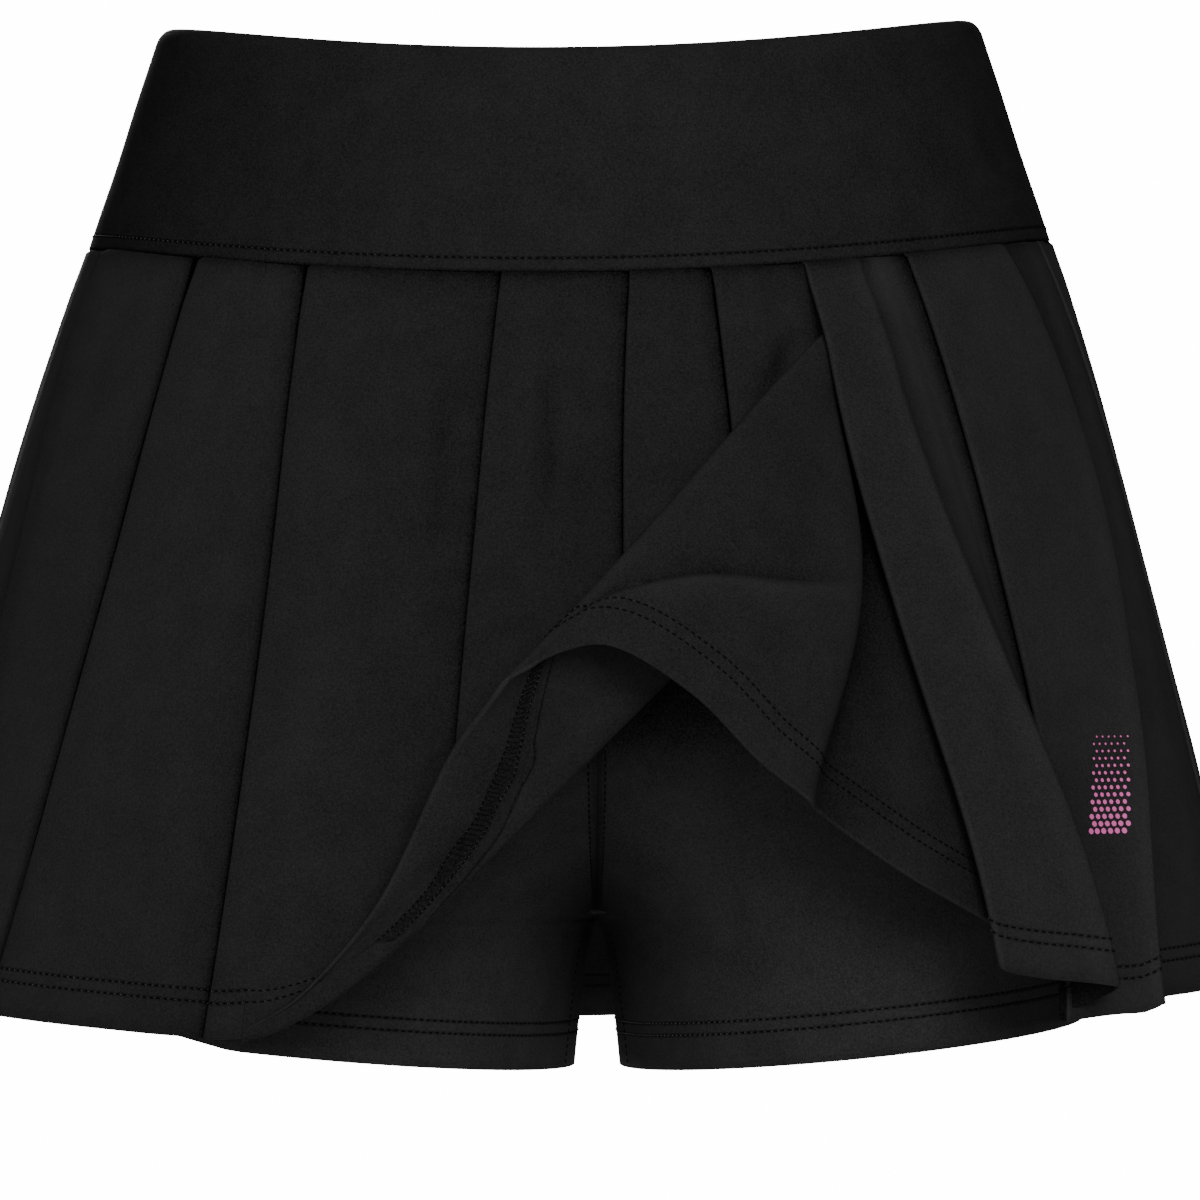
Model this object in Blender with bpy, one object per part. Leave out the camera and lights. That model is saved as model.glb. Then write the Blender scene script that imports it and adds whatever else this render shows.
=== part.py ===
"""Tennis skort: a wide waistband, a knife pleated skirt whose front is turned up, and inner shorts.

The garment keeps the hollow form of its wearer.  Front is -Y, right is +X, up is +Z, and the
origin is the middle of the waist opening.  All sizes below are in millimetres.
"""
import math

import bpy
import bmesh
from mathutils import Vector

METRE = 0.001

# ---------------------------------------------------------------- driving sizes
SKIRT_WALL = 1.1            # pleated cloth
SHORTS_WALL = 1.1           # inner shorts cloth
BAND_WALL = 2.4             # the waistband is two layers
SEAM_GAP = 0.3              # between pieces that are sewn together
BAND_HEIGHT = 74.0          # at the sides
FRONT_DIP = 14.0            # how far the top edge and the band seam dip at the centre front
SIDE_TILT = 1.5             # the right side sits this much higher, the left this much lower
SIDE_HEM = 321.0            # depth of the skirt hem below the waist at the sides
FRONT_HEM_DROP = 15.0       # more than that at the centre front
BACK_HEM_DROP = 24.0        # and at the centre back
CENTRE_SEAM_X = 8.9         # the shorts' centre seam at the crotch
CENTRE_SHIFT_LENGTH = 140.0 # it leans over to there from the middle of the band
CROTCH_DEPTH = 299.0

# The form that the skirt hangs on: an oval at each depth.
# depth below waist, half width, half depth, shift of its centre to the right
FORM = (
    (0.0, 138.0, 100.0, 0.0),
    (40.0, 151.0, 109.0, 0.0),
    (74.0, 162.3, 117.0, 0.0),
    (105.0, 172.4, 126.0, -0.5),
    (135.0, 181.4, 135.0, -1.0),
    (168.0, 190.6, 144.0, -1.3),
    (207.0, 201.0, 152.5, -2.0),
    (256.0, 214.0, 163.0, -2.5),
    (329.0, 233.0, 176.0, -3.5),
    (352.0, 239.0, 179.5, -3.8),
)

# Depths at which the pleat tables give a bearing.  A bearing is in degrees round the form,
# 0 at the centre front and growing to the right.
STATIONS = (80.0, 150.0, 240.0, 335.0)

# Knife pleats of the front, left to right: the folded edge of each panel, which lies on top.
# name, four bearings
FRONT_PLEATS = (
    ("p0", (-69.7, -66.2, -63.7, -63.0)),
    ("p1", (-46.4, -47.2, -49.2, -51.8)),
    ("p2", (-30.1, -28.6, -27.8, -28.0)),
    ("p3", (-6.9, -7.9, -8.8, -9.5)),
    ("p4", (7.3, 6.0, 6.0, 6.0)),
    ("p5", (16.2, 17.2, 18.0, 19.0)),
)
PLEAT_6 = (27.7, 28.9, 34.3, 37.2)
RIDGE_6 = (34.6, 37.6, 42.8, 44.8)
PLEAT_7 = (41.6, 44.3, 45.4, 43.7)
RIDGE_8 = (61.7, 66.0, 60.0, 52.7)
PLEAT_9 = (75.3, 74.2, 73.5, 73.0)

SIDE_SEAM = 90.0            # bearing of the side seams
SEAM_TURN = 0.07            # degrees from a side seam to the edge of either skirt piece
SIDE_HEIGHT = 1.6           # of a panel where it crosses a side seam
PLEAT_6_UNDERLAY = (17.0, 8.5)     # at the band, at the hem
CUT_INSET = 4.0             # the hidden edge behind pleat 6, from the pleat's inner turn

# Heights on the right of the front, at the band and below; pleat 6 swells over the turn up.
SWELL_BY = 1.0 / 9.0        # share of the way down by which pleat 6 has swollen
PLEAT_6_RISE = (1.6, 8.0)
PLEAT_6_SINK = 3.0
PLEAT_6_TURN = (2.0, 2.6)
RIDGE_6_RISE = (3.6, 10.4)
RIDGE_6_FLARE = 15.0
RIDGE_8_RISE = (2.6, 14.0)
RIDGE_HALF = 1.6            # half width of a soft ridge
RIDGE_DROP = 1.3
RETURN_6_BY = -3.5          # the cloth from ridge 6 back to pleat 7
RETURN_6_SHARE = 0.42
LANDING_7_BY = (-8.0, -5.5)
LANDING_7_HEIGHT = 0.4
RETURN_8_BY = (9.0, -1.5)
FLAT_HEIGHT = 1.4

# How far the hem is drawn up on the right of the front.
# part, lift at its first column, less for each further column
HEM_LIFTS = (
    ("hidden", 32.0, 0.0),
    ("back", 30.0, 1.5),
    ("top", 20.0, 1.0),
    ("panel 6", 14.0, 2.0),
    ("ridge 6", 10.0, 0.5),
    ("return 6", 6.0, 3.0),
    ("panel 7", 1.0, 0.0),
    ("ridge 8", 2.0, 0.0),
    ("panel 9", 1.0, 0.0),
    ("side", 0.0, 0.0),
)

# Knife pleats of the back: evenly set, each a little off the pitch.
BACK_FIRST = 101.0
BACK_PITCH = 19.6
BACK_COUNT = 9
BACK_UNEVEN = 1.3

LAYER_AT_SEAM = 1.6         # from the middle of one layer of a pleat to the next
LAYER_BELOW = 1.8
UNDERLAY_AT_SEAM = 7.0      # how far a layer goes on under the next panel
UNDERLAY_AT_HEM = 13.0
HELD_PAST = 3.0             # a panel stays this much longer at its full height
PANEL_FALL = 1.3            # how a panel then falls to the base: 1 is straight, more is sooner
UNDER_FLAP_FALL = 2.4
SKIRT_BASE = 0.65           # the lowest layer stands this far outside the form

# The turned up front: spokes from a tip under pleat 6 down to the hem, left to right.
# Each has four stations: x, height above the form, depth below the waist.
FLAP = (
    ("cut", ((84.0, 0.7, 107.6), (45.2, 2.0, 200.4), (-25.9, 2.0, 272.4), (-86.0, 3.0, 323.0))),
    ("turn", ((86.0, 2.0, 107.8), (47.4, 4.2, 202.4), (-23.8, 4.2, 274.6), (-84.5, 4.7, 324.5))),
    ("strip a", ((84.9, 3.3, 107.6), (45.6, 7.6, 199.0), (-27.3, 7.0, 271.6), (-85.3, 6.4, 322.4))),
    ("strip b", ((84.6, 3.4, 107.6), (47.5, 8.2, 190.0), (-18.0, 9.0, 259.0), (-78.0, 9.0, 313.5))),
    ("strip c", ((84.3, 3.4, 107.6), (51.5, 9.0, 172.0), (1.0, 13.5, 230.0), (-60.0, 14.0, 289.0))),
    ("strip d", ((84.0, 3.4, 107.6), (55.5, 9.8, 152.0), (16.0, 19.5, 197.0), (-36.0, 26.0, 240.0))),
    ("strip e", ((83.7, 3.6, 107.6), (58.0, 10.8, 138.0), (25.0, 23.0, 176.0), (-12.0, 34.0, 213.5))),
    ("fold", ((82.2, 4.7, 107.6), (56.5, 12.6, 135.0), (24.0, 25.5, 172.0), (0.0, 37.5, 207.5))),
    ("face a", ((83.8, 5.9, 107.6), (59.5, 15.0, 137.0), (29.0, 28.5, 174.0), (15.0, 38.0, 207.6))),
    ("face b", ((85.2, 6.1, 107.6), (68.0, 15.4, 144.0), (47.0, 28.0, 183.0), (39.0, 35.0, 222.0))),
    ("face c", ((86.8, 6.1, 107.6), (78.0, 13.0, 150.0), (69.0, 25.0, 196.0), (61.0, 31.0, 244.0))),
    ("roll", ((88.6, 5.7, 107.6), (88.5, 9.0, 158.0), (91.0, 18.5, 213.0), (75.5, 26.0, 258.0))),
    ("behind roll", ((89.9, 3.0, 107.6), (90.2, 3.4, 159.0), (90.5, 9.5, 214.5), (79.0, 17.0, 261.5))),
    ("recess", ((90.6, 1.1, 107.6), (98.0, 0.9, 166.0), (107.0, 3.6, 222.0), (106.0, 8.5, 279.0))),
)
FLAP_ROWS = 17
TIP_DEPTH = 107.6
TIP_CLEARANCE = 1.5
TIP_REACH = 4.0
FLAP_CORNER = (-115.2, 334.3)   # x and depth where the hem begins to rise to the turn up
HIDDEN_GAP = 1.0            # along the hidden edge
CREASE_RISE = 3.5           # the soft ridge across the turned up face

# Sections of the shorts, one leg: depth, half width from the centre seam, depth in front of the
# middle, depth behind it, and how far the leg has parted from the other one (0 joined, 1 apart).
SHORTS = (
    (74.0, 161.3, 116.0, 116.0, 0.0),
    (92.0, 167.0, 120.6, 120.4, 0.0),
    (118.0, 170.5, 120.5, 124.5, 0.0),
    (155.0, 172.5, 118.0, 127.0, 0.0),
    (195.0, 174.5, 115.0, 127.0, 0.03),
    (230.0, 175.5, 113.0, 124.0, 0.20),
    (258.0, 176.0, 111.0, 119.0, 0.46),
    (278.0, 175.5, 109.5, 114.0, 0.72),
    (291.0, 175.0, 108.5, 111.0, 0.90),
    (299.0, 174.5, 108.0, 109.0, 1.0),
    (312.0, 174.0, 107.0, 108.0, 1.0),
    (328.0, 173.5, 106.5, 107.0, 1.0),
    (345.8, 173.0, 106.0, 106.0, 1.0),
)
SHORTS_SIDE_RISE = 12.0     # the leg hem rises this much at the outer side
LEG_GAP = 6.4               # from the centre seam to the leg's inner side at the hem
SHORTS_COLUMNS = 26

CLOTH_BLACK = (0.0105, 0.0105, 0.0120, 1.0)
SHORTS_BLACK = (0.0120, 0.0112, 0.0135, 1.0)
CLOTH_ROUGHNESS = 0.82


# ---------------------------------------------------------------- small curves
def cubic(stations, values, at):
    """The curve through four values, one at each station."""
    total = 0.0
    for i, (here, value) in enumerate(zip(stations, values)):
        weight = 1.0
        for j, other in enumerate(stations):
            if j != i:
                weight *= (at - other) / (here - other)
        total += weight * value
    return total


def table_value(table, column, at):
    """A column of a table read smoothly at a depth, with the first column as depths."""
    if at <= table[0][0]:
        return table[0][column]
    for below in range(1, len(table)):
        if at <= table[below][0]:
            break
    else:
        return table[-1][column]
    x0, x1 = table[below - 1][0], table[below][0]
    y0, y1 = table[below - 1][column], table[below][column]
    slope = (y1 - y0) / (x1 - x0)
    before = slope
    after = slope
    if below > 1:
        before = 0.5 * (slope + (y0 - table[below - 2][column]) / (x0 - table[below - 2][0]))
    if below + 1 < len(table):
        after = 0.5 * (slope + (table[below + 1][column] - y1) / (table[below + 1][0] - x1))
    t = (at - x0) / (x1 - x0)
    span = x1 - x0
    return ((2 * t ** 3 - 3 * t ** 2 + 1) * y0 + (t ** 3 - 2 * t ** 2 + t) * span * before
            + (3 * t ** 2 - 2 * t ** 3) * y1 + (t ** 3 - t ** 2) * span * after)


def mix(a, b, t):
    return a + (b - a) * t


# ---------------------------------------------------------------- the worn form
def form_point(bearing, height, depth):
    """A point that stands a height above the form."""
    angle = math.radians(bearing)
    half_width = table_value(FORM, 1, depth) + height
    half_depth = table_value(FORM, 2, depth) + height
    shift = table_value(FORM, 3, depth)
    return Vector((shift + half_width * math.sin(angle), -half_depth * math.cos(angle), -depth))


def bearing_at(x, height, depth):
    """The bearing on the front of the form at a distance x to the right."""
    half_width = table_value(FORM, 1, depth) + height
    return math.degrees(math.asin((x - table_value(FORM, 3, depth)) / half_width))


def degrees_for(length, bearing, depth):
    """How many degrees of bearing a length along the form takes."""
    angle = math.radians(bearing)
    across = table_value(FORM, 1, depth) * math.cos(angle)
    along = table_value(FORM, 2, depth) * math.sin(angle)
    return math.degrees(length / math.hypot(across, along))


def front_share(bearing):
    """1 at the centre front, 0 at the sides and round the back."""
    return max(0.0, math.cos(math.radians(bearing))) ** 2


def back_share(bearing):
    return max(0.0, -math.cos(math.radians(bearing))) ** 2


def top_depth(bearing):
    return FRONT_DIP * front_share(bearing) - SIDE_TILT * math.sin(math.radians(bearing))


def seam_depth(bearing):
    return BAND_HEIGHT + top_depth(bearing)


def hem_depth(bearing):
    return (SIDE_HEM + FRONT_HEM_DROP * front_share(bearing) + BACK_HEM_DROP * back_share(bearing)
            - SIDE_TILT * math.sin(math.radians(bearing)))


# ---------------------------------------------------------------- meshes and pieces
def cloth_material(name, colour):
    material = bpy.data.materials.new(name)
    material.use_nodes = True
    shader = material.node_tree.nodes["Principled BSDF"]
    shader.inputs["Base Color"].default_value = colour
    shader.inputs["Roughness"].default_value = CLOTH_ROUGHNESS
    shader.inputs["Metallic"].default_value = 0.0
    return material


def wall_object(name, rows, thickness, material, welded_from=None):
    """A wall of cloth: a grid whose points are moved to the rows, given its thickness.

    From row welded_from on, the first and the last column are the same seam and are welded.
    """
    height, width = len(rows), len(rows[0])
    bm = bmesh.new()
    bmesh.ops.create_grid(bm, x_segments=width - 1, y_segments=height - 1, size=1.0)
    bm.verts.ensure_lookup_table()
    for index, vert in enumerate(bm.verts):
        row, column = divmod(index, width)
        vert.co = rows[row][column] * METRE
    if welded_from is not None:
        seams = [bm.verts[row * width + edge] for row in range(welded_from, height)
                 for edge in (0, width - 1)]
        bmesh.ops.remove_doubles(bm, verts=seams, dist=0.00001)
    bmesh.ops.reverse_faces(bm, faces=bm.faces)
    mesh = bpy.data.meshes.new(name)
    bm.to_mesh(mesh)
    bm.free()
    mesh.materials.append(material)
    piece = bpy.data.objects.new(name, mesh)
    bpy.context.scene.collection.objects.link(piece)
    wall = piece.modifiers.new("cloth wall", "SOLIDIFY")
    wall.thickness = thickness * METRE
    wall.offset = 0.0
    wall.use_even_offset = False
    return piece


# ---------------------------------------------------------------- waistband
def band_piece(name, first, last, columns, rows_down, material):
    end_gap = degrees_for(SEAM_GAP / 2, first, BAND_HEIGHT)
    rows = []
    for r in range(rows_down + 1):
        row = []
        for c in range(columns + 1):
            bearing = mix(first + end_gap, last - end_gap, c / columns)
            depth = mix(top_depth(bearing), seam_depth(bearing) - SEAM_GAP, r / rows_down)
            row.append(form_point(bearing, 0.0, depth))
        rows.append(row)
    piece = wall_object(name, rows, BAND_WALL, material)
    edge = piece.modifiers.new("turned edges", "BEVEL")
    edge.width = 0.7 * METRE
    edge.segments = 2
    edge.limit_method = "ANGLE"
    edge.angle_limit = math.radians(50.0)
    return piece


# ---------------------------------------------------------------- pleats
def layer_step(down):
    """From one layer of a pleat to the next, for a share 0 to 1 of the way down."""
    return mix(LAYER_AT_SEAM, LAYER_BELOW, min(1.0, down * 6.0))


def underlay(down):
    return mix(UNDERLAY_AT_SEAM, UNDERLAY_AT_HEM, down)


def fold_columns(bearings, back_height, top_height):
    """Columns of one knife pleat: the cloth goes on under the next panel and turns twice.

    Each column is (bearings, mm to the right of the folded edge, height above the base),
    and each of those takes the share of the way down.
    """
    def valley(share_round):
        turn = math.pi * share_round
        return (bearings,
                lambda down: underlay(down) + 0.5 * back_height(down) * math.sin(turn),
                lambda down: 0.5 * back_height(down) * (1.0 - math.cos(turn)))

    def rise(down):
        return top_height(down) - back_height(down)

    def crest(share_round):
        turn = math.pi * share_round
        return (bearings,
                lambda down: -0.5 * rise(down) * math.sin(turn),
                lambda down: back_height(down) + 0.5 * rise(down) * (1.0 - math.cos(turn)))

    under = (bearings, lambda down: 0.0, lambda down: 0.0)
    hold = (bearings, lambda down: underlay(down) + HELD_PAST, top_height)
    return ([under] + [valley(k / 3) for k in range(4)] + [crest(k / 3) for k in range(4)]
            + [hold])


def panel_columns(left, right, start_height, count, fall=PANEL_FALL):
    """Columns across a panel, from its held part down to the base at the next pleat."""
    columns = []
    for k in range(1, count + 1):
        share = k / (count + 1)
        columns.append((
            lambda depth, s=share: mix(left(depth), right(depth), s),
            lambda down, s=share: (underlay(down) + HELD_PAST) * (1.0 - s),
            lambda down, s=share: start_height(down) * (1.0 - s) ** fall))
    return columns


def through(four):
    """Bearing against depth, through the four values of a pleat table."""
    return lambda depth: cubic(STATIONS, four, min(max(depth, 60.0), 350.0))


def column_point(column, down, end_depth):
    """The place of a column at a share of the way from the band seam to its lower end."""
    bearings, right_by, above = column
    depth = mix(BAND_HEIGHT, SIDE_HEM, down)
    for _ in range(6):
        bearing = bearings(depth)
        bearing += degrees_for(right_by(down), bearing, depth)
        upper = seam_depth(bearing) + SEAM_GAP
        lower = end_depth(bearing, SKIRT_BASE + above(down))
        depth = mix(upper, lower, down)
    return form_point(bearing, SKIRT_BASE + above(down), depth)


def hanging_rows(columns, ends, row_count):
    """Rows of points of a pleated wall, from the band seam to the lower ends of its columns."""
    rows = []
    for r in range(row_count + 1):
        down = r / row_count
        rows.append([column_point(column, down, end) for column, end in zip(columns, ends)])
    return rows


def skirt_piece(name, columns, ends, row_count, material):
    return wall_object(name, hanging_rows(columns, ends, row_count), SKIRT_WALL, material)


def plain(bearing, above):
    """A column at a fixed bearing and a fixed height above the base."""
    return (lambda depth: bearing, lambda down: 0.0, lambda down: above)


def knife(four):
    return fold_columns(through(four), layer_step, lambda down: 2.0 * layer_step(down))


def top_layer(down):
    return 2.0 * layer_step(down)


def flap_spoke(name):
    return next(stations for spoke, stations in FLAP if spoke == name)


def spoke_point(stations, share):
    """x, height above the form and depth at a share of the way along a spoke."""
    thirds = (0.0, 1.0 / 3.0, 2.0 / 3.0, 1.0)
    return tuple(cubic(thirds, [station[k] for station in stations], share) for k in range(3))


def cut_depth(x):
    """The depth of the hidden edge along which the hanging panels meet the turned up front."""
    cut = flap_spoke("cut")
    low, high = 0.0, 1.0
    if x >= cut[0][0] - TIP_REACH:
        return TIP_DEPTH - TIP_CLEARANCE
    if x <= cut[3][0]:
        share = (x - FLAP_CORNER[0]) / (cut[3][0] - FLAP_CORNER[0])
        return mix(FLAP_CORNER[1], cut[3][2], share)
    for _ in range(30):
        middle = 0.5 * (low + high)
        if spoke_point(cut, middle)[0] > x:
            low = middle
        else:
            high = middle
    return spoke_point(cut, high)[2]


def front_end(bearing, height):
    """Lower end of the hanging front panels: the hem, then the hidden edge of the turn up."""
    hem = hem_depth(bearing)
    x = form_point(bearing, height, hem).x
    if x <= FLAP_CORNER[0]:
        return hem
    low, high = seam_depth(bearing), hem
    for _ in range(24):
        depth = 0.5 * (low + high)
        if depth < cut_depth(form_point(bearing, height, depth).x + SKIRT_WALL / 2) - HIDDEN_GAP:
            low = depth
        else:
            high = depth
    return low


def hem_end(lift):
    """Lower end at the hem, drawn up by a lift."""
    return lambda bearing, height: hem_depth(bearing) - lift


# ---------------------------------------------------------------- skirt, front
def hidden_edge(depth):
    """Bearing of the hidden edge behind pleat 6."""
    fold = through(PLEAT_6)(depth)
    down = (depth - BAND_HEIGHT) / (SIDE_HEM - BAND_HEIGHT)
    return fold + degrees_for(mix(*PLEAT_6_UNDERLAY, down) - CUT_INSET, fold, depth)


def front_left(material):
    columns = [plain(-SIDE_SEAM + SEAM_TURN, SIDE_HEIGHT), plain(-80.0, 0.5 * SIDE_HEIGHT)]
    for index, (name, four) in enumerate(FRONT_PLEATS):
        columns += knife(four)
        if index + 1 < len(FRONT_PLEATS):
            following = through(FRONT_PLEATS[index + 1][1])
            columns += panel_columns(through(four), following, top_layer, 2)
    columns += panel_columns(through(FRONT_PLEATS[-1][1]), through(PLEAT_6), top_layer, 2,
                             UNDER_FLAP_FALL)
    gap = degrees_for(SEAM_GAP, PLEAT_6[0], BAND_HEIGHT)
    columns.append((through(PLEAT_6), lambda down: 0.0, lambda down: 0.0))
    columns.append((lambda depth: hidden_edge(depth) - gap, lambda down: 0.0, lambda down: 0.0))
    return skirt_piece("skirt_front_left", columns, [front_end] * len(columns), 9, material)


def arc_between(first, bulge, last, share):
    """A half turn from one point to another round the bulge."""
    middle = (first + last) * 0.5
    turn = math.pi * share
    return middle + (first - last) * 0.5 * math.cos(turn) + (bulge - middle) * math.sin(turn)


def crease(name, share):
    """Rise of the soft ridge across the turned up face."""
    places = {"face a": 0.88, "face b": 0.80, "face c": 0.70, "roll": 0.58}
    if name not in places:
        return 0.0
    return CREASE_RISE * max(0.0, 1.0 - abs(share - places[name]) / 0.14)


def flap_row(share):
    """One row of points across the turned up front, at a share of the way to the hem."""
    places = {}
    for name, stations in FLAP:
        x, height, depth = spoke_point(stations, share)
        height += crease(name, share)
        places[name] = form_point(bearing_at(x, height, depth), height, depth)
    row = [arc_between(places["cut"], places["turn"], places["strip a"], k / 3) for k in range(4)]
    row += [places["strip " + letter] for letter in "bcd"]
    row += [arc_between(places["strip e"], places["fold"], places["face a"], k / 4)
            for k in range(5)]
    row += [places[name] for name in ("face b", "face c", "roll", "behind roll", "recess")]
    depth = mix(TIP_DEPTH, 297.0, share)
    gap = degrees_for(SEAM_GAP, PLEAT_6[0], BAND_HEIGHT)
    row.append(form_point(hidden_edge(depth) - gap, SKIRT_BASE, depth))
    return row


def front_flap(material):
    rows = [flap_row(r / FLAP_ROWS) for r in range(FLAP_ROWS + 1)]
    return wall_object("skirt_front_flap", rows, SKIRT_WALL, material)


def pleat_6_back(down):
    """Height of the layer of pleat 6 that goes back under its own panel, over the turn up."""
    swell = mix(PLEAT_6_RISE[0], PLEAT_6_RISE[1], min(1.0, down / SWELL_BY))
    return swell - PLEAT_6_SINK * max(0.0, down - 2.0 * SWELL_BY)


def pleat_6_top(down):
    return pleat_6_back(down) + mix(*PLEAT_6_TURN, min(1.0, 3.0 * down))


def ridge_6_height(down):
    swell = mix(RIDGE_6_RISE[0], RIDGE_6_RISE[1], min(1.0, down / SWELL_BY))
    return swell + RIDGE_6_FLARE * max(0.0, down - SWELL_BY)


def ridge_8_height(down):
    return mix(*RIDGE_8_RISE, down)


def half_turn(bearings, right_by, low, high, count, outward):
    """Columns round one turn of a fold, from the height low to the height high."""
    def column(turn):
        return (bearings,
                lambda down: right_by(down) + outward * 0.5 * (high(down) - low(down)) * math.sin(turn),
                lambda down: mix(low(down), high(down), 0.5 * (1.0 - math.cos(turn))))
    return [column(math.pi * k / count) for k in range(count + 1)]


def ridge(bearings, height):
    """Two columns over a soft ridge, the second one already going down."""
    return [(bearings, lambda down: -RIDGE_HALF, height),
            (bearings, lambda down: RIDGE_HALF - 1.0, lambda down: height(down) - RIDGE_DROP)]


def rising_panel(left, right, held, start_height, end_height, power):
    """Two columns across a panel that rises to a ridge."""
    def column(share):
        return (lambda depth: mix(left(depth), right(depth), share),
                lambda down: held(down) * (1.0 - share),
                lambda down: mix(start_height(down), end_height(down), share ** power))
    return [column(k / 3) for k in (1, 2)]


def front_right(material):
    pleat_6, ridge_6 = through(PLEAT_6), through(RIDGE_6)
    pleat_7, ridge_8, pleat_9 = through(PLEAT_7), through(RIDGE_8), through(PLEAT_9)
    gap = degrees_for(SEAM_GAP, PLEAT_6[0], BAND_HEIGHT)

    def level(down):
        return 0.0

    parts = (
        ("hidden", [(lambda depth: hidden_edge(depth) + gap, level, level)]),
        ("back", half_turn(pleat_6, lambda down: mix(*PLEAT_6_UNDERLAY, down), level,
                           pleat_6_back, 4, 1.0)),
        ("top", half_turn(pleat_6, level, pleat_6_back, pleat_6_top, 3, -1.0)),
        ("panel 6", rising_panel(pleat_6, ridge_6, level, pleat_6_top, ridge_6_height, 1.0)),
        ("ridge 6", ridge(ridge_6, ridge_6_height)),
        ("return 6", [(lambda depth: 0.5 * (ridge_6(depth) + pleat_7(depth)),
                       lambda down: RETURN_6_BY,
                       lambda down: RETURN_6_SHARE * ridge_6_height(down)),
                      (pleat_7, lambda down: mix(*LANDING_7_BY, down),
                       lambda down: LANDING_7_HEIGHT)]),
        ("panel 7", knife(PLEAT_7) + rising_panel(pleat_7, ridge_8,
                                                  lambda down: underlay(down) + HELD_PAST,
                                                  top_layer, ridge_8_height, 1.5)),
        ("ridge 8", ridge(ridge_8, ridge_8_height)
         + [(ridge_8, lambda down: mix(*RETURN_8_BY, down), lambda down: FLAT_HEIGHT)]),
        ("panel 9", [(lambda depth: mix(ridge_8(depth), pleat_9(depth), 0.55), level,
                      lambda down: FLAT_HEIGHT)]),
        ("side", knife(PLEAT_9) + [plain(SIDE_SEAM - SEAM_TURN, SIDE_HEIGHT)]),
    )
    columns, ends = [], []
    for (part, part_columns), (listed, lift, less) in zip(parts, HEM_LIFTS):
        columns += part_columns
        ends += [hem_end(lift - less * k) for k in range(len(part_columns))]
    return skirt_piece("skirt_front_right", columns, ends, 9, material)


# ---------------------------------------------------------------- skirt, back
def back_pleats():
    """Bearings of the back pleats, nine evenly set folds a little off their pitch."""
    pleats = []
    for k in range(BACK_COUNT):
        bearing = BACK_FIRST + k * BACK_PITCH + BACK_UNEVEN * math.sin(2.3 * k)
        flare = 1.5 * math.sin(1.7 * k + 0.6)
        pleats.append((bearing, bearing + 0.3 * flare, bearing + 0.7 * flare, bearing + flare))
    return pleats


def skirt_back(material):
    pleats = back_pleats()
    columns = [plain(SIDE_SEAM + SEAM_TURN, SIDE_HEIGHT)]
    columns.append(plain(0.5 * (SIDE_SEAM + BACK_FIRST), 0.5 * SIDE_HEIGHT))
    for index, four in enumerate(pleats):
        columns += knife(four)
        if index + 1 < len(pleats):
            columns += panel_columns(through(four), through(pleats[index + 1]), top_layer, 2)
    columns.append(plain(3.0 * SIDE_SEAM - SEAM_TURN, SIDE_HEIGHT))
    return skirt_piece("skirt_back", columns, [hem_end(0.0)] * len(columns), 7, material)


# ---------------------------------------------------------------- inner shorts
def leg_section_point(level, turn_share, side):
    """A point of one leg: turn_share runs 0 to 1 from the centre front round the outside."""
    apart = min(1.0, max(0.0, table_value(SHORTS, 4, level)))
    past_crotch = max(0.0, (level - CROTCH_DEPTH) / (SHORTS[-1][0] - CROTCH_DEPTH))
    below_band = (level - BAND_HEIGHT) / CENTRE_SHIFT_LENGTH
    centre = CENTRE_SEAM_X * min(1.0, below_band)
    opening = math.acos(apart)
    angle = mix(opening, 2.0 * math.pi - opening, turn_share)
    across, along = math.cos(angle), math.sin(angle)
    outside = max(0.0, -across)
    near_band = max(0.0, 1.0 - (level - BAND_HEIGHT) / 90.0)
    near_hem = max(0.0, (level - 250.0) / (SHORTS[-1][0] - 250.0))
    dipped = level + near_band * (FRONT_DIP * max(0.0, along) ** 2 - SIDE_TILT * outside * side)
    outer = table_value(SHORTS, 1, dipped) - centre * side
    reach = table_value(SHORTS, 2 if along > 0.0 else 3, dipped)
    inner_gap = mix(SEAM_GAP / 2 + 0.5 * SHORTS_WALL * apart, LEG_GAP, past_crotch ** 0.6)
    half = (outer - inner_gap) / (1.0 + apart)
    x = inner_gap + half * (apart - across)
    depth = dipped + SEAM_GAP - SHORTS_SIDE_RISE * near_hem * outside ** 2
    return Vector((centre + side * x, -reach * along, -depth))


def shorts_piece(name, side, material):
    levels = [row[0] for row in SHORTS]
    rows = []
    for level in levels:
        row = [leg_section_point(level, c / SHORTS_COLUMNS, side)
               for c in range(SHORTS_COLUMNS + 1)]
        rows.append(row if side > 0 else row[::-1])
    return wall_object(name, rows, SHORTS_WALL, material, welded_from=levels.index(CROTCH_DEPTH))


# ---------------------------------------------------------------- the garment
for old in list(bpy.data.objects):
    bpy.data.objects.remove(old, do_unlink=True)

band_black = cloth_material("band_black", CLOTH_BLACK)
skirt_black = cloth_material("skirt_black", CLOTH_BLACK)
shorts_black = cloth_material("shorts_black", SHORTS_BLACK)

band_piece("waistband_front", -90.0, 90.0, 26, 4, band_black)
band_piece("waistband_back", 90.0, 270.0, 22, 3, band_black)
front_left(skirt_black)
front_flap(skirt_black)
front_right(skirt_black)
skirt_back(skirt_black)
shorts_piece("shorts_right_side", 1, shorts_black)
shorts_piece("shorts_left_side", -1, shorts_black)
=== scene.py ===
import bisect
import math

import bmesh
import bpy
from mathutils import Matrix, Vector, noise
from mathutils.bvhtree import BVHTree


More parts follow.
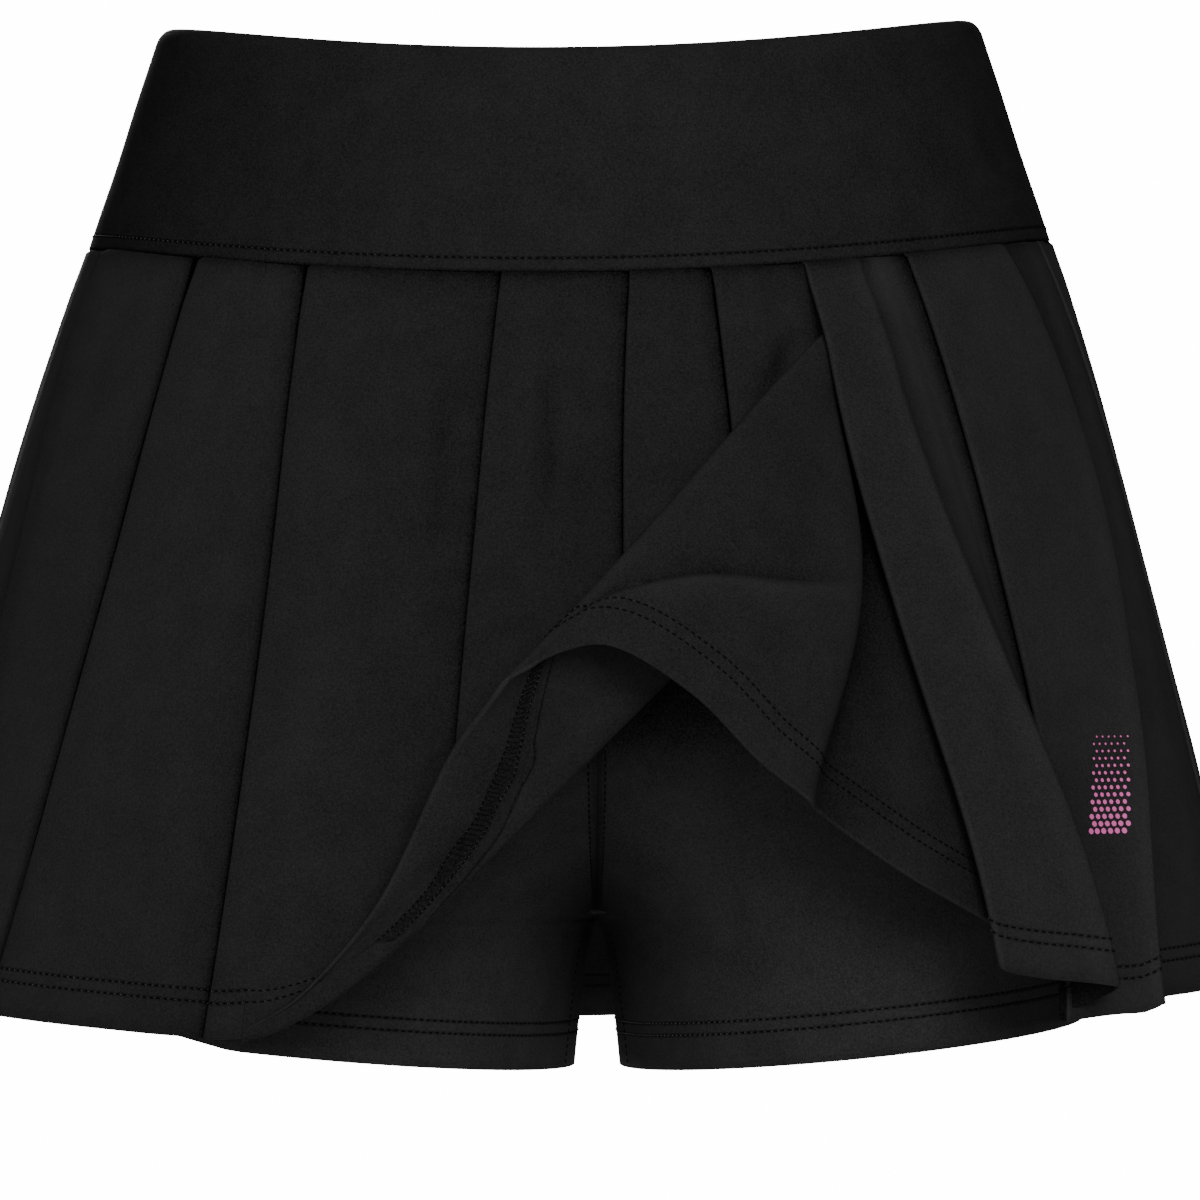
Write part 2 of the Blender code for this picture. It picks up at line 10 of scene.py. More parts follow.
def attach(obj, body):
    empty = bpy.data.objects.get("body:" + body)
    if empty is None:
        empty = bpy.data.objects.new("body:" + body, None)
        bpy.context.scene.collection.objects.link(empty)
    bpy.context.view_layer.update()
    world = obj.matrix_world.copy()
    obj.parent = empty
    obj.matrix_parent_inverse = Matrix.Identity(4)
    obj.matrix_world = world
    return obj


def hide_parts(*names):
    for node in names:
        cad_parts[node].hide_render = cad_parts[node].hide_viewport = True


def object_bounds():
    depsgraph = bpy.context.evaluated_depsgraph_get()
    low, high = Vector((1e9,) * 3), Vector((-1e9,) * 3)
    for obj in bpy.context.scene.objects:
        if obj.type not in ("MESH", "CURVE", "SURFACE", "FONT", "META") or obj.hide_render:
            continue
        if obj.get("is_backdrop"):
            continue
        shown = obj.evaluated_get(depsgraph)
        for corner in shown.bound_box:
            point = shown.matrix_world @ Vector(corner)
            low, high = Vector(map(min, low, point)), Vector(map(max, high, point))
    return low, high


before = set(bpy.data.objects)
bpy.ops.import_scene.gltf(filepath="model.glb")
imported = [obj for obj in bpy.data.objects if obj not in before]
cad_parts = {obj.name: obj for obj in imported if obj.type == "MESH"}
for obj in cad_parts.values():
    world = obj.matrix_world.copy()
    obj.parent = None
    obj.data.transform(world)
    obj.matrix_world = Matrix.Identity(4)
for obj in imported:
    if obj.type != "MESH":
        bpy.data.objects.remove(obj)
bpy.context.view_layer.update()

# ---------------------------------------------------------------- waistband
# Two wide pieces of black stretch knit, a front and a back, each folded double and joined at the
# side seams.  The skirt and the shorts are sewn to its lower edge, and one row of topstitching
# just above that edge holds the seam allowance up.
MM = 0.001                  # metres
BAND_HEIGHT = 74.0          # mm, at the sides; every length on the cloth below is in mm too
FRONT_DIP = 14.0            # the top edge and the seam dip this much at the centre front
SIDE_TILT = 1.5
SEAM_GAP = 0.3
BAND_WALL = 2.4
BAND_ROUND = 4.0            # length over which the folded top edge rolls inwards
BAND_ROLL = 2.6
BAND_STITCH_UP = 4.8        # the topstitching, above the seam
PAST_HEM = 100.0            # added to the map's height where a column doesn't end at the hem
BLACK = (0.0107, 0.0106, 0.0107)
BAND_BLACK = (0.0110, 0.0109, 0.0110)
# painted shade towards the band's sides, where it turns away from the light
BAND_SIDE_PAINTED_SHADE = -0.45

# depth below the waist, half width, half depth, shift to the right
FORM = (
    (0.0, 138.0, 100.0, 0.0),
    (40.0, 151.0, 109.0, 0.0),
    (74.0, 162.3, 117.0, 0.0),
    (105.0, 172.4, 126.0, -0.5),
    (135.0, 181.4, 135.0, -1.0),
    (168.0, 190.6, 144.0, -1.3),
    (207.0, 201.0, 152.5, -2.0),
    (256.0, 214.0, 163.0, -2.5),
    (329.0, 233.0, 176.0, -3.5),
    (352.0, 239.0, 179.5, -3.8),
)


def mix(a, b, t):
    return a + (b - a) * t


def ease(low, high, at):
    """0 below low, 1 above high, and smooth between them."""
    t = min(1.0, max(0.0, (at - low) / (high - low)))
    return t * t * (3.0 - 2.0 * t)


def cubic(stations, values, at):
    """The cubic through four values, one for each station."""
    total = 0.0
    for i, value in enumerate(values):
        for j, station in enumerate(stations):
            if i != j:
                value *= (at - station) / (stations[i] - station)
        total += value
    return total


def table_value(table, column, at):
    """A column of a table, read by the cubic through the four rows nearest to a depth."""
    last = len(table) - 1
    row = next((k for k in range(last) if at < table[k + 1][0]), last - 1)
    first = min(max(row - 1, 0), last - 3)
    near = table[first:first + 4]
    return cubic([r[0] for r in near], [r[column] for r in near], at)


def form_point(bearing, height, depth):
    """A point that stands a height above the worn form, at a bearing in degrees from the front."""
    angle = math.radians(bearing)
    half_width = table_value(FORM, 1, depth) + height
    half_depth = table_value(FORM, 2, depth) + height
    shift = table_value(FORM, 3, depth)
    return Vector((shift + half_width * math.sin(angle), -half_depth * math.cos(angle), -depth))


def degrees_for(length, bearing, depth):
    angle = math.radians(bearing)
    across = table_value(FORM, 1, depth) * math.cos(angle)
    along = table_value(FORM, 2, depth) * math.sin(angle)
    return math.degrees(length / math.hypot(across, along))


def front_share(bearing):
    return max(0.0, math.cos(math.radians(bearing))) ** 2


def top_depth(bearing):
    return FRONT_DIP * front_share(bearing) - SIDE_TILT * math.sin(math.radians(bearing))


def seam_depth(bearing):
    return BAND_HEIGHT + top_depth(bearing)


class Value:
    """A socket whose sums, products and powers add Math nodes to its material."""

    def __init__(self, cloth, socket):
        self.cloth, self.socket = cloth, socket

    def maths(self, operation, *others):
        return self.cloth.node("ShaderNodeMath", {"operation": operation},
                               dict(enumerate((self, *others))))

    def __add__(self, other):
        return self.maths("ADD", other)

    def __mul__(self, other):
        return self.maths("MULTIPLY", other)

    def __sub__(self, other):
        return self.maths("SUBTRACT", other)

    def __rsub__(self, other):
        return (self * -1.0) + other

    __radd__, __rmul__ = __add__, __mul__

    def size(self):
        return self.maths("ABSOLUTE")

    def between(self, low, high):
        """0 at low and 1 at high, smooth, and held outside them."""
        return self.cloth.node("ShaderNodeMapRange", {"interpolation_type": "SMOOTHSTEP"},
                               {"Value": self, "From Min": low, "From Max": high})


class Finish:
    """A material, and the one method that adds its nodes."""

    def __init__(self, name):
        self.material = bpy.data.materials.new(name)
        self.material.use_nodes = True
        self.tree = self.material.node_tree
        self.shader = self.tree.nodes["Principled BSDF"]

    def node(self, kind, settings, inputs, output=0):
        made = self.tree.nodes.new(kind)
        for name, value in settings.items():
            setattr(made, name, value)
        for name, value in inputs.items():
            self.feed(made.inputs[name], value)
        return Value(self, made.outputs[output])

    def feed(self, socket, value):
        if isinstance(value, Value):
            self.tree.links.new(value.socket, socket)
        else:
            socket.default_value = value

    def set(self, **values):
        for name, value in values.items():
            self.feed(self.shader.inputs[name.replace("_", " ")], value)

    def colour(self, tone, rgb):
        """A colour times a tone."""
        return self.node("ShaderNodeMix", {"data_type": "RGBA"},
                         {"Factor": tone, 6: (0.0, 0.0, 0.0, 1.0), 7: (*rgb, 1.0)}, 2)


def knit(name, rgb, grooves=()):
    """Brushed black stretch knit: a fine grain, soft clouds of tone, and its stitched grooves.

    The cloth's own map gives metres along it and metres up from its hem or seam, and its tone
    attribute carries painted light and shade: painted highlights on folded edges and painted
    shade where a fold lies deep.
    """
    cloth = Finish(name)
    place = cloth.node("ShaderNodeTexCoord", {}, {}, "Object")
    grain = cloth.node("ShaderNodeTexNoise", {"noise_dimensions": "3D"},
                       {"Vector": place, "Scale": 1500.0, "Detail": 3.0, "Roughness": 0.7})
    clouds = cloth.node("ShaderNodeTexNoise", {"noise_dimensions": "3D"},
                        {"Vector": place, "Scale": 60.0, "Detail": 5.0, "Roughness": 0.68})
    fold = cloth.node("ShaderNodeAttribute", {"attribute_name": "tone"}, {}, "Fac")
    along = cloth.node("ShaderNodeUVMap", {"uv_map": "cloth"}, {})
    up = cloth.node("ShaderNodeSeparateXYZ", {}, {"Vector": along}, "Y")
    # the tone attribute adds painted light and shade to the grain and clouds
    tone = 0.79 + 0.18 * clouds.between(0.3, 0.7) + (grain - 0.5) * 2.0 + fold * 0.55
    height = grain * 0.05 + clouds * 0.15
    if grooves:
        # the stitched grooves are bumped in and also painted darker: painted shade in the grooves
        line = sum((up - distance * MM).size().between(0.0009, 0.0002) for distance in grooves)
        tone = tone - line * 0.22
        height = height - line * 0.5
    scaled = cloth.node("ShaderNodeMath", {"operation": "MULTIPLY", "use_clamp": True},
                        {0: tone, 1: 0.5})
    bump = cloth.node("ShaderNodeBump", {}, {"Height": height, "Distance": 0.0006,
                                             "Strength": 0.8})
    light = tuple(2.0 * part for part in rgb)
    cloth.set(Base_Color=cloth.colour(scaled, light), Roughness=0.78 + 0.14 * clouds, Normal=bump,
              Specular_IOR_Level=0.02)
    return cloth.material


def new_object(name, bm, material):
    """The object that a bmesh becomes, put in the scene."""
    mesh = bpy.data.meshes.new(name)
    bm.to_mesh(mesh)
    bm.free()
    mesh.materials.append(material)
    made = bpy.data.objects.new(name, mesh)
    bpy.context.scene.collection.objects.link(made)
    return made


def new_piece(name, bm, material):
    piece = new_object(name, bm, material)
    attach(piece, "root")
    return piece


def step(rows, r, c, dr, dc):
    """The difference across one point of a grid of points."""
    r0, r1 = max(r - dr, 0), min(r + dr, len(rows) - 1)
    c0, c1 = max(c - dc, 0), min(c + dc, len(rows[0]) - 1)
    return rows[r1][c1] - rows[r0][c0]


def outward(rows, r, c):
    """Which way the outside of the cloth looks at a point of its grid."""
    facing = step(rows, r, c, 1, 0).cross(step(rows, r, c, 0, 1))
    return facing.normalized() if facing.length > 1e-9 else Vector((0.0, -1.0, 0.0))


def lengths_up(rows, c):
    """How far each point of a column is from the last one, along the cloth."""
    total, up = 0.0, [0.0]
    for r in range(len(rows) - 1, 0, -1):
        total += (rows[r][c] - rows[r - 1][c]).length
        up.append(total)
    return up[::-1]


def cloth_piece(name, rows, tones, wall, material, node, hem_row=None,
                hem_columns=None):
    """A sheet of cloth through a grid of points, with its thickness, its map and its tones.

    The map counts up from the hem row.  Columns that don't end at the hem are moved past it.
    """
    width = len(rows[0])
    bm = bmesh.new()
    bmesh.ops.create_grid(bm, x_segments=width - 1, y_segments=len(rows) - 1, size=1.0)
    bm.verts.ensure_lookup_table()
    cloth_map = bm.loops.layers.uv.new("cloth")
    tone = bm.verts.layers.float.new("tone")
    across = [0.0]
    for c in range(1, width):
        across.append(across[-1] + (rows[-1][c] - rows[-1][c - 1]).length)
    hem_row = len(rows) - 1 if hem_row is None else hem_row
    ups = []
    for c in range(width):
        up = lengths_up(rows, c)
        past = 0.0 if hem_columns is None or c in hem_columns else PAST_HEM
        ups.append([abs(value - up[hem_row]) + past for value in up])
    where = {}
    for index, vert in enumerate(bm.verts):
        r, c = divmod(index, width)
        vert.co = rows[r][c] * MM
        vert[tone] = tones[r][c] if tones else 0.0
        where[vert] = (across[c] * MM, ups[c][r] * MM)
    for face in bm.faces:
        face.smooth = True
        for loop in face.loops:
            loop[cloth_map].uv = where[loop.vert]
    bmesh.ops.reverse_faces(bm, faces=bm.faces)
    piece = new_piece(name, bm, material)
    thick = piece.modifiers.new("cloth", "SOLIDIFY")
    thick.thickness = wall * MM
    thick.offset = 0.0
    thick.use_even_offset = False
    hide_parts(*node)
    return piece


def thread_finish(name, rgb, dark):
    """Polyester sewing thread: pulled tight and dark, with a painted highlight at one end of each
    stitch.
    """
    thread = Finish(name)
    place = thread.node("ShaderNodeTexCoord", {}, {}, "Object")
    twist = thread.node("ShaderNodeTexNoise", {"noise_dimensions": "3D"},
                        {"Vector": place, "Scale": 2600.0, "Detail": 2.0})
    shine = thread.node("ShaderNodeAttribute", {"attribute_name": "shine"}, {}, "Fac")
    thread.set(Base_Color=thread.colour(shine * twist * 2.4 + dark, rgb),
               Roughness=0.45 + 0.2 * twist, Specular_IOR_Level=0.03)
    return thread.material


def stitches(name, lines, material, pitch=2.5, length=1.9, radius=0.3):
    """Rows of sewn stitches: one small rounded dash of thread after another along each line.

    A line is a list of (point, outward) pairs in mm.
    """
    bm = bmesh.new()
    for line in lines:
        travelled, due, waiting = 0.0, 0.5 * pitch, []
        for (start, out_a), (end, out_b) in zip(line, line[1:]):
            reach = (end - start).length
            while reach > 1e-6 and travelled + reach >= due:
                share = (due - travelled) / reach
                waiting.append((start.lerp(end, share), (end - start).normalized(),
                                out_a.lerp(out_b, share).normalized()))
                due += pitch
            travelled += reach
        for first in range(0, len(waiting), 24):
            lay_stitches(bm, waiting[first:first + 24], length, radius)
    new_piece(name, bm, material).data.shade_smooth()


def lay_stitches(bm, places, length, radius):
    """Stitches: small balls drawn out along the seam and sunk to half their thickness."""
    few = bmesh.new()
    shine = few.verts.layers.float.new("shine")
    for place, way, out in places:
        side = way.cross(out).normalized()
        made = bmesh.ops.create_uvsphere(few, u_segments=5, v_segments=4, radius=1.0)["verts"]
        for vert in made:
            x, y, z = vert.co
            # painted highlight: the far end of each stitch is painted lighter
            vert[shine] = max(0.0, z - 0.8) * 5.0
            vert.co = (place + way * (z * 0.5 * length) + out * (x * radius + 0.25 * radius)
                       + side * (y * radius)) * MM
    passing = bpy.data.meshes.new("stitches")
    few.to_mesh(passing)
    few.free()
    bm.from_mesh(passing)
    bpy.data.meshes.remove(passing)


def line_above_hem(rows, distance, columns, lift, hem_row=None):
    """The line on a grid of cloth a distance up from its hem, standing a lift off the cloth."""
    line = []
    hem_row = len(rows) - 1 if hem_row is None else hem_row
    for c in columns:
        travelled, r = 0.0, hem_row
        while r > 0:
            reach = (rows[r][c] - rows[r - 1][c]).length
            if travelled + reach >= distance:
                break
            travelled += reach
            r -= 1
        share = (distance - travelled) / reach
        out = outward(rows, r, c)
        line.append((rows[r][c].lerp(rows[r - 1][c], share) + out * lift, out))
    return line


BAND_DOWNS = ([0.0, 0.003, 0.008, 0.016, 0.028, 0.042, 0.056] + [k / 22 for k in range(2, 20)]
              + [0.90, 0.93, 0.955, 0.98, 0.992, 1.0])


def band_rows(first, last, columns):
    """The band from its rounded folded top edge down to the seam, bulging a little at the seam."""
    gap = degrees_for(SEAM_GAP / 2, first, BAND_HEIGHT)
    rows = []
    for down in BAND_DOWNS:
        row = []
        for c in range(columns + 1):
            bearing = mix(first + gap, last - gap, c / columns)
            depth = mix(top_depth(bearing), seam_depth(bearing) - SEAM_GAP, down)
            place = Vector((math.sin(math.radians(bearing)) * 3.0, down * 2.2, 5.0))
            soft = 0.5 * noise.noise(place) * math.sin(math.pi * down)
            rounded = 1.0 - min(1.0, down * BAND_HEIGHT / BAND_ROUND)
            soft -= BAND_ROLL * (1.0 - math.sqrt(1.0 - rounded ** 2))
            row.append(form_point(bearing, soft, depth))
        rows.append(row)
    return rows


band_knit = knit("band_knit", BAND_BLACK, grooves=(BAND_STITCH_UP,))
black_thread = thread_finish("black_thread", (0.10, 0.10, 0.102), 0.012)
band_lines = []
for name, node, first, last, columns in (
        ("band_front", "waistband_front", -90.0, 90.0, 90),
        ("band_back", "waistband_back", 90.0, 270.0, 80)):
    rows = band_rows(first, last, columns)
    # Painted shade: darker along the band's lower edge over the seam, and towards its sides.
    tones = [[-1.2 * max(0.0, 1.0 - (1.0 - down) / 0.015)
              + BAND_SIDE_PAINTED_SHADE * math.sin(math.radians(mix(first, last, c / columns))) ** 2
              for c in range(columns + 1)] for down in BAND_DOWNS]
    piece = cloth_piece(name, rows, tones, BAND_WALL, band_knit, [node])
    rounding = piece.modifiers.new("folded edge", "BEVEL")
    rounding.width = 0.0009
    rounding.segments = 4
    rounding.limit_method = "ANGLE"
    rounding.angle_limit = math.radians(50.0)
    band_lines.append(line_above_hem(rows, BAND_STITCH_UP, range(columns + 1),
                                     0.5 * BAND_WALL))
stitches("band_topstitching", band_lines, black_thread)

# ---------------------------------------------------------------- skirt front, hanging panels
# One piece of black stretch knit, laid in knife pleats that are caught in the band seam.  Each
# pleat's folded edge lies on top of the panel to its left.  The panels hang free down to a hem
# turned up once and coverstitched, and end at the diagonal fold where the front is turned up.
SKIRT_WALL = 0.8
SKIRT_BASE = 0.65
SIDE_HEM = 321.0
FRONT_HEM_DROP = 15.0
BACK_HEM_DROP = 24.0
STATIONS = (80.0, 150.0, 240.0, 335.0)
LAYER_AT_SEAM = 1.6
LAYER_BELOW = 1.8
UNDERLAY_AT_SEAM = 7.0
UNDERLAY_AT_HEM = 13.0
HELD_PAST = 3.0
SHADE_REACH = 6.0
SIDE_SEAM = 90.0
SEAM_TURN = 0.07
SIDE_HEIGHT = 1.6
HEM_ROWS = (11.6, 15.6)     # the two rows of the coverstitch, up from the hem
MM_PER_DEGREE = 3.0
TUCK = 1.4                  # the top edge goes up this far behind the band's lower edge
TUCK_HEIGHT = -0.9
TUCK_SHARE = 0.12
PRESSED = 0.6               # the pleats are pressed flatter where they enter the band
# Painted shade under the band seam, painted light towards the skirt's sides (more on the left), and
# painted shade and light along the laid creases.
SEAM_SHADE = -0.9
SIDE_PAINTED_LIGHT = 0.9
LEFT_PAINTED_LIGHT = 1.1
CREASE_PAINTED_SHADING = 0.3
WAVES = ((0.9, 0.06, 0.012), (0.4, 0.30, 0.020))    # height, how fast around, how fast down

# soft creases laid in one by one: bearing and depth of one end and of the other, half width, height
CREASES = (
    (-2.0, 114.0, -1.6, 172.0, 3.2, -1.7), (1.6, 138.0, 1.8, 188.0, 4.0, -0.9),
    (-12.6, 120.0, -13.3, 184.0, 3.4, -1.2), (-10.3, 128.0, -10.9, 176.0, 3.2, 0.4),
    (18.0, 136.0, 26.2, 103.0, 3.6, -1.8), (-38.0, 98.0, -40.5, 152.0, 5.0, -0.5),
    (-57.5, 96.0, -60.0, 148.0, 5.0, -0.5), (-22.0, 190.0, -24.0, 262.0, 6.0, 0.6),
    (52.0, 100.0, 54.5, 158.0, 5.0, -0.6), (48.0, 180.0, 50.0, 252.0, 6.0, 0.5),
    (112.0, 106.0, 110.5, 168.0, 4.0, -0.8), (143.0, 98.0, 144.5, 152.0, 4.5, -0.6),
    (167.0, 118.0, 166.0, 186.0, 3.6, -0.8), (184.0, 150.0, 185.0, 236.0, 6.0, 0.6),
    (203.0, 100.0, 201.5, 160.0, 4.0, -0.6), (231.0, 112.0, 232.5, 178.0, 4.4, -0.7),
    (251.0, 98.0, 249.5, 146.0, 4.6, -0.5),
)

# name, bearings of the folded edge at the four stations
FRONT_PLEATS = (
    ("p0", (-70.2, -68.0, -65.6, -64.6)),
    ("p1", (-46.4, -47.2, -49.2, -51.8)),
    ("p2", (-30.1, -28.6, -27.8, -28.0)),
    ("p3", (-6.9, -7.9, -8.8, -9.5)),
    ("p4", (7.3, 6.0, 6.0, 6.0)),
    ("p5", (16.2, 17.2, 18.0, 19.0)),
)
# the shade painted before a folded edge: how far before it, tone
PLEAT_SHADE = ((4.2, -0.3), (1.6, -0.9), (0.2, -2.6))
P0_SHADE = ((9.0, 0.3), (3.0, 0.0), (0.2, -0.6))
PANEL_FALL = 1.3            # how a panel falls to the next pleat: 1 is straight, more is sooner
UNDER_FLAP_FALL = 2.4
TABLE_REACH = (60.0, 350.0)     # depths between which the pleats are read
BACK_ENDS = 272.0           # bearing past which the left of the front begins, told as negative
PLEAT_6 = (27.7, 28.9, 34.3, 37.2)
PLEAT_6_UNDERLAY = (17.0, 8.5)
CUT_INSET = 4.0

# The turned up front: spokes from a tip under pleat 6 down to the hem.
# name, stations of x, height above the form, depth: at the thirds, and some at five sixths too
FLAP = (
    ("cut", ((84.0, 0.7, 107.6), (45.2, 2.0, 200.4), (-25.9, 2.0, 272.4), (-65.5, 2.2, 310.0),
             (-104.0, 2.2, 332.0))),
    ("turn", ((86.0, 2.0, 107.8), (47.4, 4.2, 202.4), (-23.8, 4.2, 274.6), (-63.8, 4.3, 311.8),
              (-103.6, 3.2, 333.4))),
    ("strip a", ((84.9, 3.3, 107.6), (47.4, 7.6, 198.6), (-24.8, 7.0, 271.2), (-64.4, 6.4, 309.0),
                 (-104.0, 4.4, 331.6))),
    ("strip b", ((84.6, 3.4, 107.6), (47.5, 8.2, 190.0), (-18.0, 9.0, 259.0), (-86.0, 8.4, 319.5))),
    ("strip c", ((84.3, 3.4, 107.6), (51.5, 9.0, 172.0), (1.0, 13.5, 230.0), (-60.0, 14.0, 289.0))),
    ("strip d", ((84.0, 3.4, 107.6), (55.5, 9.8, 152.0), (16.0, 19.5, 197.0), (-36.0, 26.0, 240.0))),
    ("strip e", ((83.7, 3.6, 107.6), (58.0, 10.8, 138.0), (25.0, 23.0, 176.0), (-26.5, 32.0, 227.0))),
    ("fold", ((82.2, 4.7, 107.6), (56.5, 12.6, 135.0), (24.0, 25.5, 172.0), (-20.0, 36.0, 218.4))),
    ("face a", ((83.8, 5.9, 107.6), (59.5, 15.0, 137.0), (29.0, 28.5, 174.0), (-7.6, 38.0, 211.2))),
    ("face m", ((84.5, 6.0, 107.6), (63.5, 15.4, 140.0), (37.5, 28.6, 178.0), (12.0, 37.4, 206.8))),
    ("face b", ((85.2, 6.1, 107.6), (68.0, 15.4, 144.0), (47.0, 28.0, 183.0), (39.0, 35.0, 222.0))),
    ("face c", ((86.8, 6.1, 107.6), (78.0, 13.0, 150.0), (69.0, 25.0, 196.0), (61.0, 31.0, 244.0))),
    ("roll", ((88.6, 5.7, 107.6), (91.0, 9.0, 158.0), (90.0, 18.5, 210.0), (82.0, 22.8, 235.0),
              (76.5, 26.0, 256.0))),
    ("behind roll", ((89.9, 3.0, 107.6), (91.6, 3.4, 159.0), (90.4, 9.5, 211.5), (84.0, 13.4, 237.0),
                     (79.0, 17.0, 259.5))),
    ("recess", ((90.6, 1.1, 107.6), (98.0, 0.9, 166.0), (107.0, 3.6, 222.0), (106.0, 8.5, 279.0))),
)
FIVE_SHARES = (0.0, 1.0 / 3.0, 2.0 / 3.0, 5.0 / 6.0, 1.0)
FLAP_CORNER = (-115.2, 334.3)
TIP_DEPTH = 107.6
HIDDEN_END = 297.0          # depth at which the edge hidden behind pleat 6 ends
TIP_REACH = 4.0
TIP_LAP = 5.0
LAP = 1.0


def back_share(bearing):
    return max(0.0, -math.cos(math.radians(bearing))) ** 2


def hem_depth(bearing):
    return (SIDE_HEM + FRONT_HEM_DROP * front_share(bearing) + BACK_HEM_DROP * back_share(bearing)
            - SIDE_TILT * math.sin(math.radians(bearing)))


def bearing_at(x, height, depth):
    half_width = table_value(FORM, 1, depth) + height
    return math.degrees(math.asin((x - table_value(FORM, 3, depth)) / half_width))


def layer_step(down):
    return mix(LAYER_AT_SEAM, LAYER_BELOW, min(1.0, down * 6.0))


def top_layer(down):
    return 2.0 * layer_step(down)


def underlay(down):
    return mix(UNDERLAY_AT_SEAM, UNDERLAY_AT_HEM, down)


def through(four):
    """Bearing against depth, through the four values of a pleat."""
    return lambda depth: cubic(STATIONS, four, min(max(depth, TABLE_REACH[0]), TABLE_REACH[1]))


def level(down):
    return 0.0


def half_turn(bearings, right_by, low, high, count, outward_by, tone):
    """Columns round one turn of a fold.  A column is (bearings, mm right, mm up, tone); the tone is
    painted light and shade.
    """
    def column(turn):
        return (bearings,
                lambda down: (right_by(down)
                              + outward_by * 0.5 * (high(down) - low(down)) * math.sin(turn)),
                lambda down: mix(low(down), high(down), 0.5 * (1.0 - math.cos(turn))),
                tone * math.sin(turn))
    return [column(math.pi * k / count) for k in range(count + 1)]


def knife(four, shade=PLEAT_SHADE, flat=1.0):
    """Columns of one knife pleat: in its shade, back at the valley, out at the crest.

    On the left the crest stands out over its own shade, which then starts further out.
    """
    bearings = through(four)
    over = 2.0 * LAYER_BELOW * math.tan(math.radians(max(0.0, -four[1])))
    shade = [(before + min(over, SHADE_REACH), tone) for before, tone in shade]

    def low(down):
        return flat * layer_step(down)

    def high(down):
        return flat * top_layer(down)

    # the turn under is painted darker and the crest lighter: painted shade and a painted highlight
    return ([(bearings, lambda down, before=before: -before, level, tone)
             for before, tone in shade]
            + half_turn(bearings, underlay, level, low, 4, 1.0, -1.0)
            + half_turn(bearings, level, low, high, 4, -1.0, 0.5)
            + [(bearings, lambda down: underlay(down) + HELD_PAST, high, 0.0)])


def panel_columns(left, right, start_height, fall=PANEL_FALL):
    """Columns across a panel, from its held part down to the base at the next pleat."""
    def column(share):
        # each panel is painted a little darker towards the next pleat: painted shade
        return (lambda depth: mix(left(depth), right(depth), share),
                lambda down: (underlay(down) + HELD_PAST) * (1.0 - share),
                lambda down: start_height(down) * (1.0 - share) ** fall, -0.1 * share)
    return [column(k / 3) for k in (1, 2)]


def plain(bearing, above, tone=0.0):
    return (lambda depth: bearing, level, lambda down: above, tone)


def hem_end(lift):
    return lambda bearing, height: hem_depth(bearing) - lift


def column_point(column, down, end_depth):
    """The place of a column at a share of the way from the band seam to its lower end."""
    bearings, right_by, above, tone = column
    depth = mix(BAND_HEIGHT, SIDE_HEM, down)
    for _ in range(5):
        bearing = bearings(depth)
        bearing += degrees_for(right_by(down), bearing, depth)
        lower = end_depth(bearing, SKIRT_BASE + above(down))
        depth = mix(seam_depth(bearing) + SEAM_GAP, lower, down)
    pressed = mix(PRESSED, 1.0, min(1.0, down / 0.06))
    return form_point(bearing, SKIRT_BASE + above(down) * pressed, depth)


def bend_through(points, pieces):
    """A smooth line through points: every span is cut into its number of pieces."""
    ends = [2.0 * points[0] - points[1], *points, 2.0 * points[-1] - points[-2]]
    line = [points[0]]
    for k, count in enumerate(pieces):
        a, b, c, d = ends[k:k + 4]
        t0 = 0.0
        t1 = t0 + math.sqrt((b - a).length) + 1e-6
        t2 = t1 + math.sqrt((c - b).length) + 1e-6
        t3 = t2 + math.sqrt((d - c).length) + 1e-6
        for j in range(1, count + 1):
            t = mix(t1, t2, j / count)
            ab = a.lerp(b, (t - t0) / (t1 - t0))
            bc = b.lerp(c, (t - t1) / (t2 - t1))
            cd = c.lerp(d, (t - t2) / (t3 - t2))
            abc = ab.lerp(bc, (t - t0) / (t2 - t0))
            bcd = bc.lerp(cd, (t - t1) / (t3 - t1))
            line.append(abc.lerp(bcd, (t - t1) / (t2 - t1)))
    return line


def spread_tones(tones, pieces):
    """The tones between the columns."""
    spread = [tones[0]]
    for k, count in enumerate(pieces):
        spread += [mix(tones[k], tones[k + 1], j / count) for j in range(1, count + 1)]
    return spread


def spans(points, fine=1.3, coarse=4.2, most=14):
    """Into how many pieces each span of a row is cut, from its length."""
    counts = []
    for a, b in zip(points, points[1:]):
        reach = (b - a).length
        counts.append(max(2, min(most, round(reach / (fine if reach < 4.0 else coarse)))))
    return counts


def tucked(column):
    """The same column pressed flat, where all its layers are caught in the band seam."""
    bearings, right_by, above, tone = column
    depth = BAND_HEIGHT
    for _ in range(3):
        bearing = bearings(depth) + degrees_for(right_by(0.0), bearings(depth), depth)
        depth = seam_depth(bearing) - TUCK
    return form_point(bearing, TUCK_HEIGHT + TUCK_SHARE * above(0.0), depth)


def wave(bearing, depth):
    """How far the cloth stands out of its plain form: in slow waves, and in the laid creases."""
    slow = sum(height * noise.noise(Vector((bearing * around, depth * fall, height * 9.0)))
               for height, around, fall in WAVES)
    total = 0.0
    for first, upper, second, lower, half, height in CREASES:
        run, drop = (second - first) * MM_PER_DEGREE, lower - upper
        across, down = (bearing - first) * MM_PER_DEGREE, depth - upper
        share = (across * run + down * drop) / (run * run + drop * drop)
        if 0.0 < share < 1.0:
            aside = (across * drop - down * run) / math.hypot(run, drop)
            total += height * math.sin(math.pi * share) * math.exp(-(aside / half) ** 2)
    loose = min(1.0, max(0.0, (depth - seam_depth(bearing)) / 30.0))
    return slow * loose, total * loose


